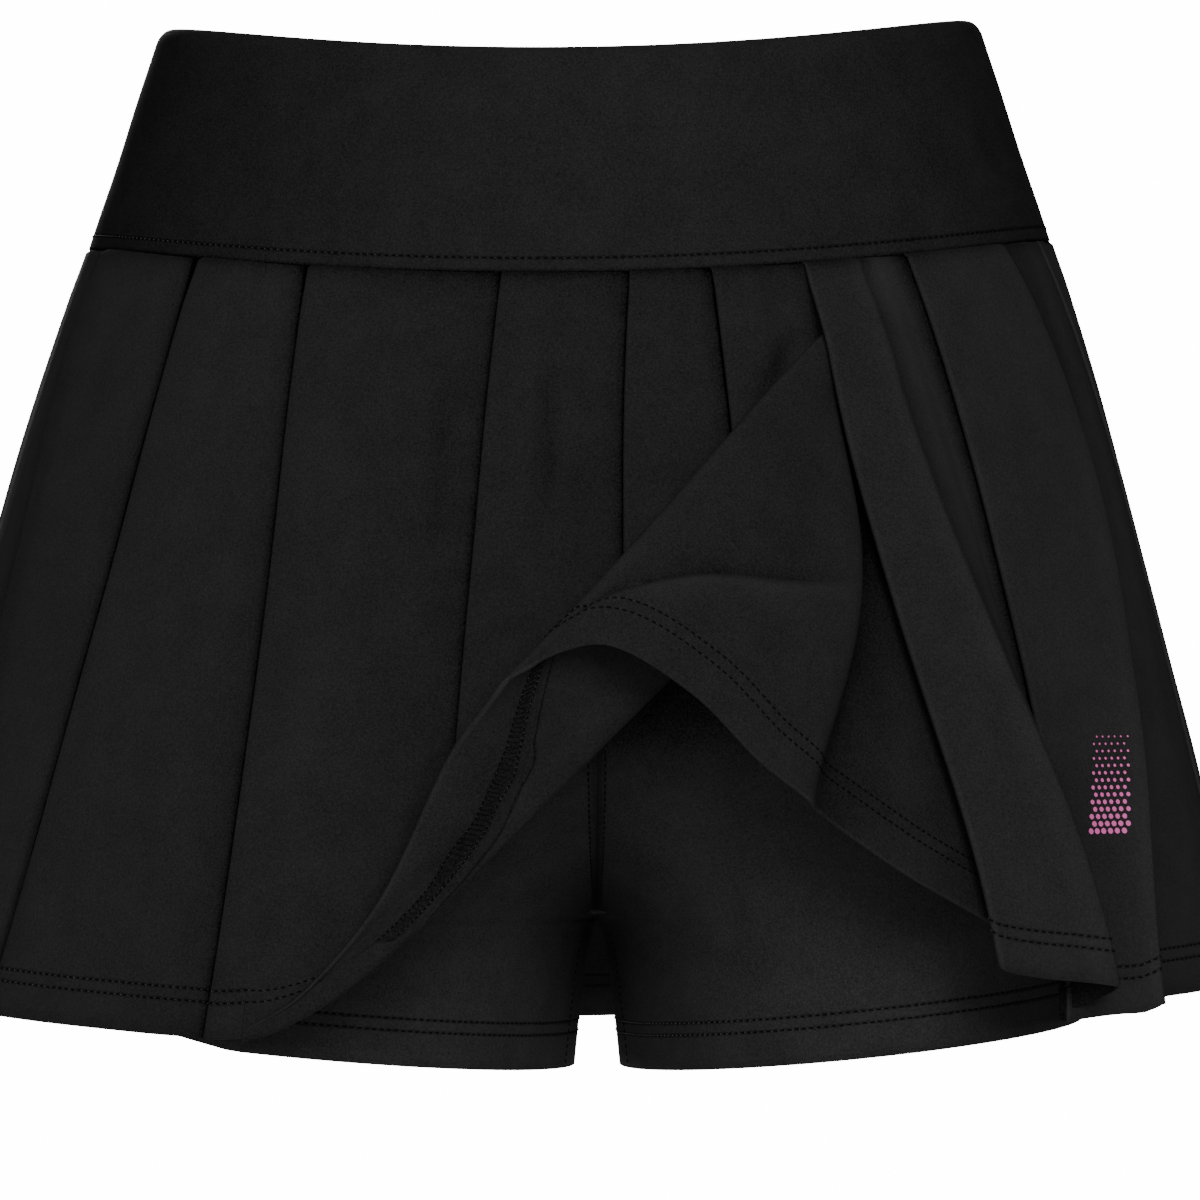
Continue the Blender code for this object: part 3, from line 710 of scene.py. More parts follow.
def soften(row, tones):
    """The same row waved in and out, with painted shade under the band, painted shade and light along
    its creases, and painted light towards the sides.
    """
    moved, shaded = [], []
    for point, tone in zip(row, tones):
        depth = -point.z
        bearing = math.degrees(math.atan2(
            (point.x - table_value(FORM, 3, depth)) / table_value(FORM, 1, depth),
            -point.y / table_value(FORM, 2, depth))) % 360.0
        bearing -= 360.0 if bearing > BACK_ENDS else 0.0
        out = Vector((point.x, point.y * 1.4, 0.0)).normalized()
        below = max(0.0, depth - seam_depth(bearing))
        side_painted_light = SIDE_PAINTED_LIGHT if bearing > 0.0 else LEFT_PAINTED_LIGHT
        slow, creased = wave(bearing, depth)
        moved.append(point + out * (slow + creased))
        shaded.append(tone + SEAM_SHADE * math.exp(-below / 2.2) + CREASE_PAINTED_SHADING * creased
                      + side_painted_light * math.sin(math.radians(bearing)) ** 2)
    return moved, shaded


def hanging_cloth(columns, ends, row_count):
    """Rows and tones of a pleated wall, and where each of its columns starts in a row."""
    downs = [k / row_count for k in range(row_count + 1)]
    downs[1:1] = [0.2 / row_count, 0.5 / row_count]
    coarse = [[column_point(column, down, end) for column, end in zip(columns, ends)]
              for down in downs]
    coarse.insert(0, [tucked(column) for column in columns])
    pieces = spans(coarse[-1])
    rows = [bend_through(row, pieces) for row in coarse]
    tones = spread_tones([column[3] for column in columns], pieces)
    softened = [soften(row, tones) for row in rows]
    starts = [sum(pieces[:k]) for k in range(len(columns))]
    return [row for row, _ in softened], [shaded for _, shaded in softened], starts


def spoke(name):
    return next(stations for listed, stations in FLAP if listed == name)


def spoke_point(stations, share):
    shares = (0.0, 1.0 / 3.0, 2.0 / 3.0, 1.0) if len(stations) == 4 else FIVE_SHARES
    return tuple(cubic(shares, [station[k] for station in stations], share) for k in range(3))


CUT_LINE = [spoke_point(spoke("cut"), k / 60) for k in range(60, -1, -1)]


def cut_depth(x):
    """The depth of the hidden edge along which the hanging panels meet the turned up front."""
    if x >= CUT_LINE[-1][0] - TIP_REACH:
        return TIP_DEPTH + TIP_LAP
    if x <= CUT_LINE[0][0]:
        share = (x - FLAP_CORNER[0]) / (CUT_LINE[0][0] - FLAP_CORNER[0])
        return mix(FLAP_CORNER[1], CUT_LINE[0][2], share)
    k = bisect.bisect(CUT_LINE, (x,)) - 1
    (x0, _, depth0), (x1, _, depth1) = CUT_LINE[k:k + 2]
    return mix(depth0, depth1, (x - x0) / (x1 - x0))


def front_end(bearing, height):
    """Lower end of the hanging front panels: the hem, then the hidden edge of the turn up."""
    hem = hem_depth(bearing)
    if form_point(bearing, height, hem).x <= FLAP_CORNER[0]:
        return hem
    low, high = seam_depth(bearing), hem
    for _ in range(14):
        depth = 0.5 * (low + high)
        if depth < cut_depth(form_point(bearing, height, depth).x + 0.5 * SKIRT_WALL) + LAP:
            low = depth
        else:
            high = depth
    return low


def hidden_edge(depth):
    fold = through(PLEAT_6)(depth)
    down = (depth - BAND_HEIGHT) / (SIDE_HEM - BAND_HEIGHT)
    return fold + degrees_for(mix(*PLEAT_6_UNDERLAY, down) - CUT_INSET, fold, depth)


skirt_knit = knit("skirt_knit", BLACK, grooves=HEM_ROWS)
# the side left of the first pleat is painted lighter: painted light where it turns from the lamps
columns = [plain(-SIDE_SEAM + SEAM_TURN, SIDE_HEIGHT), plain(-80.0, 0.5 * SIDE_HEIGHT, 0.7)]
for index, (name, four) in enumerate(FRONT_PLEATS):
    columns += knife(four, P0_SHADE if name == "p0" else PLEAT_SHADE)
    following = FRONT_PLEATS[index + 1][1] if index + 1 < len(FRONT_PLEATS) else PLEAT_6
    columns += panel_columns(through(four), through(following), top_layer,
                             UNDER_FLAP_FALL if following is PLEAT_6 else PANEL_FALL)
gap = degrees_for(SEAM_GAP, PLEAT_6[0], BAND_HEIGHT)
# painted shade under pleat 6, along its hidden edge
columns.append((through(PLEAT_6), level, level, -0.5))
columns.append((lambda depth: hidden_edge(depth) - gap, level, level, -0.5))
left_rows, left_tones, starts = hanging_cloth(columns, [front_end] * len(columns), 36)
left_hem = [c for c, point in enumerate(left_rows[-1]) if point.x < CUT_LINE[0][0]]
cloth_piece("front_left_panels", left_rows, left_tones, SKIRT_WALL, skirt_knit,
            ["skirt_front_left"],
            hem_columns=left_hem)

# ---------------------------------------------------------------- skirt front, turned up
# The same cloth, caught up in one big diagonal fold: the hem is lifted so that first its inside
# shows, with the hem allowance held down by the looper side of the coverstitch, and then its
# outside again, falling back to the right with a soft ridge across it.
ALLOWANCE = 26.5            # depth of the turned up hem, as it shows inside
INSIDE_ROWS = (16.2, 21.6)
TURN_RADIUS = 0.6
# Tones inside the hem: a painted highlight near its folded edge, darker between the looper rows and
# at the allowance's raw edge.
INSIDE_TONES = ((1.5, 0.1), (6.0, 0.0), (11.0, -0.1), (15.2, -0.2), (16.2, -0.7), (21.4, -0.7),
                (22.4, -0.3), (25.5, -0.2), (ALLOWANCE, -0.7))    # length in from the edge, tone
RUNG_PITCH = 1.7
RUNG_RADIUS = 0.13
CREASE_AT = 0.75            # row at which the crease lies, for every spoke
FLAP_STEPS = ([0.0, 0.004, 0.012] + [k / 40 for k in range(1, 25)]
              + [0.62, 0.64, 0.66, 0.68, 0.70, 0.715, 0.728, 0.737, 0.744, 0.75, 0.756, 0.763,
                 0.772, 0.784, 0.80, 0.82, 0.85, 0.88, 0.91, 0.94, 0.965, 0.985, 1.0])

# the share of each spoke at which the crease crosses it, and how strong it is there
CREASE = {"strip e": (0.85, 0.0), "fold": (0.90, 0.3), "face a": (0.83, 0.7),
          "face m": (0.76, 1.0), "face b": (0.69, 1.0), "face c": (0.61, 0.9), "roll": (0.53, 0.3),
          "behind roll": (0.53, 0.0), "recess": (0.53, 0.0)}
# row, height, tone: a painted highlight on the crease and painted shade just above it
CREASE_SHAPE = ((0.0, 0.0, 0.0), (0.56, 0.0, 0.0), (0.66, -1.0, -0.12), (0.72, -1.8, -0.3),
                (0.744, -2.0, -0.6), (0.75, -0.6, 0.1), (0.757, 0.9, 0.7), (0.772, 1.5, 0.35),
                (0.82, 1.3, 0.05), (0.91, 0.5, 0.0), (1.0, 0.0, 0.0))
# row, tone on the roll's far side, tone in the recess
ROLL_SHADE = ((0.0, -0.4, -0.4), (0.3, -1.0, -1.0), (0.5, -1.5, -1.2), (0.68, -1.2, -0.6),
              (0.85, -0.8, 0.0), (1.0, -0.5, 0.1))


def read(table, column, at):
    """A column of a table, read along straight lines."""
    for upper, lower in zip(table, table[1:]):
        if at <= lower[0]:
            return mix(upper[column], lower[column], (at - upper[0]) / (lower[0] - upper[0]))
    return table[-1][column]


def arc_between(first, bulge, last, share):
    middle = (first + last) * 0.5
    turn = math.pi * share
    return middle + (first - last) * 0.5 * math.cos(turn) + (bulge - middle) * math.sin(turn)


def flap_row(at):
    """One row of points across the turned up front, and its tones, at a step towards the hem."""
    places = {}
    for name, stations in FLAP:
        crossing, strength = CREASE.get(name, (CREASE_AT, 0.0))
        if at < CREASE_AT:
            share = crossing * at / CREASE_AT
        else:
            share = mix(crossing, 1.0, (at - CREASE_AT) / (1.0 - CREASE_AT))
        x, height, depth = spoke_point(stations, share)
        height += strength * read(CREASE_SHAPE, 1, at)
        places[name] = form_point(bearing_at(x, height, depth), height, depth)
    row = [arc_between(places["cut"], places["turn"], places["strip a"], k / 3) for k in range(4)]
    row += [places["strip " + letter] for letter in "bcd"]
    round_fold = [arc_between(places["strip e"], places["fold"], places["face a"], k / 4)
                  for k in range(5)]
    open_fold = [places["strip e"], places["strip e"].lerp(places["fold"], 0.5), places["fold"],
                 places["fold"].lerp(places["face a"], 0.5), places["face a"]]
    opened = ease(0.6, 1.0, at)
    row += [a.lerp(b, opened) for a, b in zip(round_fold, open_fold)]
    row += [places[name] for name in ("face m", "face b", "face c", "roll", "behind roll", "recess")]
    depth = mix(TIP_DEPTH, HIDDEN_END, at)
    row.append(form_point(hidden_edge(depth) - gap, SKIRT_BASE, depth))
    shade = read(CREASE_SHAPE, 2, at)
    # Painted light and shade: darker in the turn, painted highlights on the fold and the roll,
    # painted shade along the crease, behind the roll, in the recess and at the hidden edge.
    tones = [-0.5, -0.4, -0.1, 0.0, 0.1, 0.1, 0.0, -0.1, 0.1, 0.4, 0.3, 0.7 * shade, shade,
             shade, 0.9 * shade, 0.3, read(ROLL_SHADE, 1, at), read(ROLL_SHADE, 2, at),
             read(ROLL_SHADE, 2, at) - 0.4]
    return row, tones


plain_knit = knit("turned_up_knit", BLACK)
coarse = [flap_row(at) for at in FLAP_STEPS]
pieces = spans(coarse[-1][0], fine=1.0, coarse=2.6, most=16)
flap_rows = [bend_through(row, pieces) for row, _ in coarse]
flap_tones = [spread_tones(tones, pieces) for _, tones in coarse]
# the columns at which strip a, the fold, face a and the round before the fold now start
strip_starts, fold_starts, face_starts = sum(pieces[:3]), sum(pieces[:9]), sum(pieces[:11])
round_starts = sum(pieces[:6]) + pieces[6] // 2


def hem_opening(rows):
    """How much of the allowance each hem column has room for, before the diagonal fold."""
    fold = [row[strip_starts] for row in rows]
    shares = [min((point - place).length for place in fold) / ALLOWANCE for point in rows[-1]]
    return [min(1.0, 0.03 + share * (1.0 + 0.35 * max(0.0, 1.0 - share))) for share in shares]


def turned_hem(rows, opening):
    """Rows that carry the cloth round the hem's fold and up its inside as the allowance."""
    last = len(rows) - 1
    added = []
    for k in range(1, 5):
        turn = math.pi * k / 4
        row = []
        for c, point in enumerate(rows[last]):
            out = outward(rows, last, c)
            down = (rows[last][c] - rows[last - 1][c]).normalized()
            row.append(point + down * (TURN_RADIUS * opening[c] * math.sin(turn))
                       - out * (TURN_RADIUS * opening[c] * (1.0 - math.cos(turn))))
        added.append(row)
    inside = []
    for distance, tone in INSIDE_TONES:
        line = run_up_behind(hem_offset(rows, distance, opening, 2.0 * TURN_RADIUS), distance)
        inside.append([point for point, _ in line])
    return rows + added + inside


def sheet_tree(rows, columns):
    """The part of a grid of cloth between two of its columns, to find places on."""
    points, quads = [], []
    for r, row in enumerate(rows):
        for c in range(columns[0], columns[1]):
            points.append(row[c])
    width = columns[1] - columns[0]
    for r in range(len(rows) - 1):
        for c in range(width - 1):
            k = r * width + c
            quads.append((k, k + 1, k + width + 1, k + width))
    return BVHTree.FromPolygons(points, quads)


def hem_offset(rows, distance, opening, sink):
    """The line a distance square in from the free edge, sunk below the outside of the cloth."""
    edge = rows[-1]
    trees = (sheet_tree(rows, (0, fold_starts + 1)), sheet_tree(rows, (fold_starts, len(edge))))
    line = []
    for c, point in enumerate(edge):
        along = edge[min(c + 2, len(edge) - 1)] - edge[max(c - 2, 0)]
        out = outward(rows, len(rows) - 1, c)
        inward = out.cross(along).normalized()
        if inward.dot(rows[-2][c] - point) < 0.0:
            inward = -inward
        place = point + inward * (distance * opening[c])
        near, facing = trees[0 if c <= fold_starts else 1].find_nearest(place)[:2]
        if facing.dot(out) < 0.0:
            facing = -facing
        line.append((near - facing * (sink * opening[c]), facing))
    return line


def run_up_behind(line, distance):
    """The same line inside the hem, led straight up behind the face where the fold opens."""
    start, aim = line[round_starts][0], line_above_hem(flap_rows, distance, [fold_starts], 0.0)[0][0]
    tree = sheet_tree(flap_rows, (0, fold_starts + 1))
    for c in range(round_starts, fold_starts + 1):
        share = (c - round_starts) / (fold_starts - round_starts)
        near, facing = tree.find_nearest(start.lerp(aim, share))[:2]
        if facing.dot(line[round_starts][1]) < 0.0:
            facing = -facing
        line[c] = (near - facing * 2.0 * TURN_RADIUS, facing)
    return line


# the rows round the hem's fold are painted lighter: a painted highlight on its rounded edge
lip = [[tone + 0.5 for tone in flap_tones[-1]]] * 4
opening = hem_opening(flap_rows)
flap_tones += lip + [[inside * ease(0.35, 0.65, share) for share in opening]
                     for _, inside in INSIDE_TONES]
flap_cloth = turned_hem(flap_rows, opening)
cloth_piece("turned_up_front", flap_cloth, flap_tones, SKIRT_WALL, plain_knit,
            ["skirt_front_flap"],
            hem_row=len(flap_rows) - 1)

# The looper side of the coverstitch shows inside: two rows and the rungs between them.
inside_lines = []
for distance in INSIDE_ROWS:
    line = run_up_behind(hem_offset(flap_rows, distance, opening, 2.0 * TURN_RADIUS), distance)
    inside_lines.append([(point - out * 0.5 * SKIRT_WALL, -out)
                         for c, (point, out) in enumerate(line)
                         if c <= fold_starts and opening[c] > 0.5])
stitches("inside_coverstitch", inside_lines, black_thread, pitch=1.9, length=1.5)
rungs = bmesh.new()
for (low, out), (high, _), (next_low, _), (next_high, _) in zip(
        *inside_lines, inside_lines[0][1:], inside_lines[1][1:]):
    count = max(1, round((next_low - low).length / RUNG_PITCH))
    for k in range(count):
        a, b = low.lerp(next_low, k / count), high.lerp(next_high, (k + 0.5) / count)
        lay_stitches(rungs, [((a + b) * 0.5, (b - a).normalized(), out)], (b - a).length,
                     RUNG_RADIUS)
new_piece("inside_looper_thread", rungs, black_thread)

# ---------------------------------------------------------------- skirt front, right panels
# The rest of the front, one cloth with the panels before it, sewn under the band and at the side.
# Pleat 6 swells over the tip of the turned up part and a rounded ridge flares beyond it; pleat 7,
# a second rounded ridge and a flat pleat 9 follow.
RIDGE_6 = (34.6, 36.1, 42.8, 44.8)
PLEAT_7 = (42.0, 45.1, 47.1, 43.7)
RIDGE_8 = (61.7, 66.0, 60.0, 52.7)
PLEAT_9 = (75.3, 82.0, 83.5, 83.5)
SWELL_BY = 1.0 / 9.0
PLEAT_6_RISE = (1.6, 8.0)
PLEAT_6_SINK = 3.0
PLEAT_6_TURN = (2.0, 2.6)
RIDGE_6_RISE = (3.6, 10.4)
RIDGE_6_FLARE = 15.0
RIDGE_8_RISE = (2.6, 14.0)
RIDGE_HALF = 1.6
RIDGE_DROP = 1.3
RETURN_6_BY = (-3.5, 2.5)
RETURN_6_SHARE = 0.42
LANDING_7_BY = (-8.0, -1.0)
LANDING_7_HEIGHT = 0.4
RETURN_8_BY = (9.0, -1.5)
# painted shade on the lowest rows from ridge 6 to the folded edge of pleat 7, under the folds
INSIDE_SHADE = -0.9         # on the lowest rows from ridge 6 to the folded edge of pleat 7
INSIDE_SHADE_ROWS = 4
INSIDE_SHADE_COLUMNS = (13, 25)
HEM_FIRST_COLUMN = 6        # where the top of pleat 6 begins
FLAT_HEIGHT = 1.4

# part, lift of the hem at its first column, less for each further column
HEM_LIFTS = (
    ("hidden", 32.0, 0.0),
    ("back", 30.0, 1.5),
    ("top", 20.0, 1.0),
    ("panel 6", 14.0, 2.0),
    ("ridge 6", 10.0, 0.5),
    ("return 6", 4.5, 4.0),
    ("panel 7", -1.6, 0.0),
    ("ridge 8", 0.6, 0.0),
    ("panel 9", -0.6, 0.0),
    ("side", 0.0, 0.0),
)


def pleat_6_back(down):
    swell = mix(PLEAT_6_RISE[0], PLEAT_6_RISE[1], min(1.0, down / SWELL_BY))
    return swell - PLEAT_6_SINK * max(0.0, down - 2.0 * SWELL_BY)


def pleat_6_top(down):
    return pleat_6_back(down) + mix(*PLEAT_6_TURN, min(1.0, 3.0 * down))


def ridge_6_height(down):
    swell = mix(RIDGE_6_RISE[0], RIDGE_6_RISE[1], min(1.0, down / SWELL_BY))
    return swell + RIDGE_6_FLARE * max(0.0, down - SWELL_BY)


def ridge_8_height(down):
    return mix(*RIDGE_8_RISE, down)


def ridge(bearings, height, tone, beyond):
    return [(bearings, lambda down: -RIDGE_HALF, height, tone),
            (bearings, lambda down: RIDGE_HALF - 1.0, lambda down: height(down) - RIDGE_DROP,
             beyond)]


def rising_panel(left, right, held, start_height, end_height, power):
    def column(share):
        return (lambda depth: mix(left(depth), right(depth), share),
                lambda down: held(down) * (1.0 - share),
                lambda down: mix(start_height(down), end_height(down), share ** power), 0.0)
    return [column(k / 3) for k in (1, 2)]


pleat_6, ridge_6, pleat_7 = through(PLEAT_6), through(RIDGE_6), through(PLEAT_7)
ridge_8, pleat_9 = through(RIDGE_8), through(PLEAT_9)
# The tones in these columns are painted light and shade: painted highlights on the crests, the ridges
# and the return beyond ridge 6, painted shade at the hidden edge, in the turn under pleat 6 and
# beyond each ridge.
parts = (
    ("hidden", [(lambda depth: hidden_edge(depth) + gap, level, level, -0.5)]),
    ("back", half_turn(pleat_6, lambda down: mix(*PLEAT_6_UNDERLAY, down), level,
                       pleat_6_back, 4, 1.0, -1.0)),
    ("top", half_turn(pleat_6, level, pleat_6_back, pleat_6_top, 3, -1.0, 1.0)),
    ("panel 6", rising_panel(pleat_6, ridge_6, level, pleat_6_top, ridge_6_height, 1.0)),
    ("ridge 6", ridge(ridge_6, ridge_6_height, 0.45, -0.2)),
    ("return 6", [(lambda depth: 0.5 * (ridge_6(depth) + pleat_7(depth)),
                   lambda down: mix(*RETURN_6_BY, down),
                   lambda down: RETURN_6_SHARE * ridge_6_height(down), 0.9),
                  (pleat_7, lambda down: mix(*LANDING_7_BY, down),
                   lambda down: LANDING_7_HEIGHT, 0.4)]),
    ("panel 7", knife(PLEAT_7, ((0.0, -1.4),))
     + rising_panel(pleat_7, ridge_8, lambda down: underlay(down) + HELD_PAST,
                    top_layer, ridge_8_height, 1.5)),
    ("ridge 8", ridge(ridge_8, ridge_8_height, 0.45, -0.7)
     + [(ridge_8, lambda down: mix(*RETURN_8_BY, down), lambda down: FLAT_HEIGHT, -0.5)]),
    ("panel 9", [(lambda depth: mix(ridge_8(depth), pleat_9(depth), 0.55), level,
                  lambda down: FLAT_HEIGHT, 0.0)]),
    ("side", knife(PLEAT_9, ((1.0, -0.2), (0.0, -0.5)), flat=0.35)[:-1]
     + [plain(SIDE_SEAM - SEAM_TURN, SIDE_HEIGHT)]),
)
columns, ends = [], []
for (_, part_columns), (_, lift, less) in zip(parts, HEM_LIFTS):
    columns += part_columns
    ends += [hem_end(lift - less * k) for k in range(len(part_columns))]
right_rows, right_tones, starts = hanging_cloth(columns, ends, 40)
right_hem = range(starts[HEM_FIRST_COLUMN], len(right_rows[0]))
inside_first, inside_last = (starts[k] for k in INSIDE_SHADE_COLUMNS)
for r in range(len(right_rows) - INSIDE_SHADE_ROWS, len(right_rows)):
    for c in range(inside_first + 1, inside_last):
        right_tones[r][c] = INSIDE_SHADE
cloth_piece("front_right_panels", right_rows, right_tones, SKIRT_WALL, skirt_knit,
            ["skirt_front_right"],
            hem_columns=right_hem)

# ---------------------------------------------------------------- skirt back
# One piece of the same knit with nine nearly even knife pleats, sewn to the front at the side
# seams and to the band's lower edge, with the same hem.
BACK_FIRST = 101.0
BACK_PITCH = 19.6
BACK_COUNT = 9
BACK_UNEVEN = 1.3

back_pleats = []
for k in range(BACK_COUNT):
    bearing = BACK_FIRST + k * BACK_PITCH + BACK_UNEVEN * math.sin(2.3 * k)
    flare = 1.5 * math.sin(1.7 * k + 0.6)
    back_pleats.append((bearing, bearing + 0.3 * flare, bearing + 0.7 * flare, bearing + flare))
columns = [plain(SIDE_SEAM + SEAM_TURN, SIDE_HEIGHT),
           plain(0.5 * (SIDE_SEAM + BACK_FIRST), 0.5 * SIDE_HEIGHT)]
for index, four in enumerate(back_pleats):
    columns += knife(four)
    if index + 1 < BACK_COUNT:
        columns += panel_columns(through(four), through(back_pleats[index + 1]), top_layer)
columns.append(plain(3.0 * SIDE_SEAM - SEAM_TURN, SIDE_HEIGHT))
back_rows, back_tones, starts = hanging_cloth(columns, [hem_end(0.0)] * len(columns), 26)
cloth_piece("back_panels", back_rows, back_tones, SKIRT_WALL, skirt_knit,
            ["skirt_back"])

# ---------------------------------------------------------------- inner shorts
# Two legs of a slightly warmer black knit, joined down the centre front and back by a seam with a
# row of topstitching on each side, with an inseam in each leg and a coverstitched hem.
SHORTS_WALL = 0.8
CROTCH_DEPTH = 299.0
CENTRE_SEAM_X = 8.9
CENTRE_SHIFT_LENGTH = 140.0
SHORTS_HEM_RISE = (3.2, 8.0)    # at the middle of a leg, and more from there to its outside
LEFT_HEM_RISE = (14.0, 0.28)    # on the left leg more, past this share of the way outwards
LEG_GAP = 8.0
SEAM_CLOSED = -0.05
TOP_SHADE = -1.1
CROTCH_SHADE = -0.7
SHORTS_COLUMNS = 104
SHORTS_BLACK = (0.0168, 0.0163, 0.0171)

# depth, half width, depth in front, depth behind, parted
SHORTS = (
    (74.0, 161.3, 116.0, 116.0, 0.0),
    (92.0, 167.0, 120.6, 120.4, 0.0),
    (118.0, 170.5, 120.5, 124.5, 0.0),
    (155.0, 172.5, 118.0, 127.0, 0.0),
    (195.0, 174.5, 115.0, 127.0, 0.03),
    (230.0, 175.5, 113.0, 124.0, 0.20),
    (258.0, 176.0, 111.0, 119.0, 0.46),
    (278.0, 175.5, 109.5, 114.0, 0.72),
    (291.0, 175.0, 108.5, 111.0, 0.90),
    (299.0, 174.5, 108.0, 109.0, 1.0),
    (312.0, 174.0, 107.0, 108.0, 1.0),
    (328.0, 173.5, 106.5, 107.0, 1.0),
    (345.8, 173.0, 106.0, 106.0, 1.0),
)


def leg_painted_shade(point):
    """Painted shade: darker under the turned up front and round the crotch."""
    below = -point.z
    return (TOP_SHADE * (1.0 - ease(222.0, 254.0, below))
            + CROTCH_SHADE * math.exp(-((point.x - CENTRE_SEAM_X) / 20.0) ** 2
                                      - ((below - CROTCH_DEPTH) / 32.0) ** 2))


def leg_point(level_depth, turn_share, side):
    """A point of one leg: turn_share runs 0 to 1 from the centre front round the outside."""
    apart = min(1.0, max(0.0, table_value(SHORTS, 4, level_depth)))
    hem = SHORTS[-1][0]
    past_crotch = max(0.0, (level_depth - CROTCH_DEPTH) / (hem - CROTCH_DEPTH))
    centre = CENTRE_SEAM_X * min(1.0, (level_depth - BAND_HEIGHT) / CENTRE_SHIFT_LENGTH)
    opening = math.acos(apart)
    angle = mix(opening, 2.0 * math.pi - opening, turn_share)
    across, along = math.cos(angle), math.sin(angle)
    outside = max(0.0, -across)
    rise = SHORTS_HEM_RISE[0] - SHORTS_HEM_RISE[1] * across
    if side < 0:
        rise += LEFT_HEM_RISE[0] * max(0.0, outside - LEFT_HEM_RISE[1])
    near_band = max(0.0, 1.0 - (level_depth - BAND_HEIGHT) / 90.0)
    near_hem = max(0.0, (level_depth - 250.0) / (hem - 250.0))
    dipped = level_depth + near_band * (FRONT_DIP * max(0.0, along) ** 2
                                        - SIDE_TILT * outside * side)
    outer = table_value(SHORTS, 1, dipped) - centre * side
    reach = table_value(SHORTS, 2 if along > 0.0 else 3, dipped)
    inner_gap = mix(SEAM_CLOSED + 0.5 * SHORTS_WALL * apart, LEG_GAP, past_crotch ** 0.6)
    half = (outer - inner_gap) / (1.0 + apart)
    depth = dipped + SEAM_GAP - rise * near_hem
    return Vector((centre + side * (inner_gap + half * (apart - across)), -reach * along, -depth))


shorts_knit = knit("shorts_knit", SHORTS_BLACK, grooves=HEM_ROWS)
levels = []
for upper, lower in zip(SHORTS, SHORTS[1:]):
    levels += [mix(upper[0], lower[0], k / 4) for k in range(4)]
levels.append(SHORTS[-1][0])
leg_rows = {}
for name, node, side in (("shorts_leg_right", "shorts_right_side", 1),
                         ("shorts_leg_left", "shorts_left_side", -1)):
    rows = []
    for depth in levels:
        row = [leg_point(depth, c / SHORTS_COLUMNS, side) for c in range(SHORTS_COLUMNS + 1)]
        rows.append(row if side > 0 else row[::-1])
    leg_rows[side] = rows
    tones = [[leg_painted_shade(point) for point in row] for row in rows]
    cloth_piece(name, rows, tones, SHORTS_WALL, shorts_knit, [node])

# The legs' seams: a row of topstitching on each side of the centre seam, a row beside each inseam,
# and a short thick bar at the crotch where the seams meet.
SEAM_HALF = 2.9
INSEAM_COLUMN = 4
CROTCH_BAR = (3.4, 1.2, 1.0)
CROTCH_BAR_DROP = 4.5
CROTCH_ROW_ABOVE = 8.0

seam_lines = []
crotch_row = next(k for k, depth in enumerate(levels) if depth >= CROTCH_DEPTH - CROTCH_ROW_ABOVE)
leg_row = next(k for k, depth in enumerate(levels) if depth > CROTCH_DEPTH + 1.0)
for side, rows in leg_rows.items():
    for centre in (0, SHORTS_COLUMNS):
        way = 1 if centre == 0 else -1
        line = []
        for r in range(crotch_row + 1):
            travelled, c = 0.0, centre
            while travelled < SEAM_HALF:
                travelled += (rows[r][c + way] - rows[r][c]).length
                c += way
            back = (travelled - SEAM_HALF) / (rows[r][c] - rows[r][c - way]).length
            out = outward(rows, r, c)
            line.append((rows[r][c].lerp(rows[r][c - way], back) + out * 0.5 * SHORTS_WALL, out))
        seam_lines.append(line)
        beside = INSEAM_COLUMN if centre == 0 else centre - INSEAM_COLUMN - 1
        inseam = []
        for r in range(leg_row, len(rows)):
            out = outward(rows, r, beside)
            inseam.append((rows[r][beside].lerp(rows[r][beside + 1], 0.5)
                           + out * 0.5 * SHORTS_WALL, out))
        seam_lines.append(inseam)
stitches("shorts_seam_stitching", seam_lines, black_thread)

bm = bmesh.new()
tone = bm.verts.layers.float.new("tone")
middle = (leg_rows[1][crotch_row][0] + leg_rows[-1][crotch_row][-1]) * 0.5
for vert in bmesh.ops.create_uvsphere(bm, u_segments=16, v_segments=10, radius=1.0)["verts"]:
    x, y, z = vert.co
    # the bar is painted as dark as the painted shade round the crotch
    vert[tone] = CROTCH_SHADE
    vert.co = (middle + Vector((x * CROTCH_BAR[0], y * CROTCH_BAR[1],
                                z * CROTCH_BAR[2] - CROTCH_BAR_DROP))) * MM
new_piece("crotch_bar", bm, shorts_knit).data.shade_smooth()

# ---------------------------------------------------------------- printed dots
# A small generic print on the last wide front panel: rows of flat pink dots, larger lower down.
DOT_MIDDLE = (54.4, 253.6)
DOT_PITCH = 2.35
DOT_ROWS = 14
DOT_COLUMNS = 6
DOT_SLANT = 0.30
DOT_SIZES = (0.35, 1.0)
DOT_LIFT = 0.25

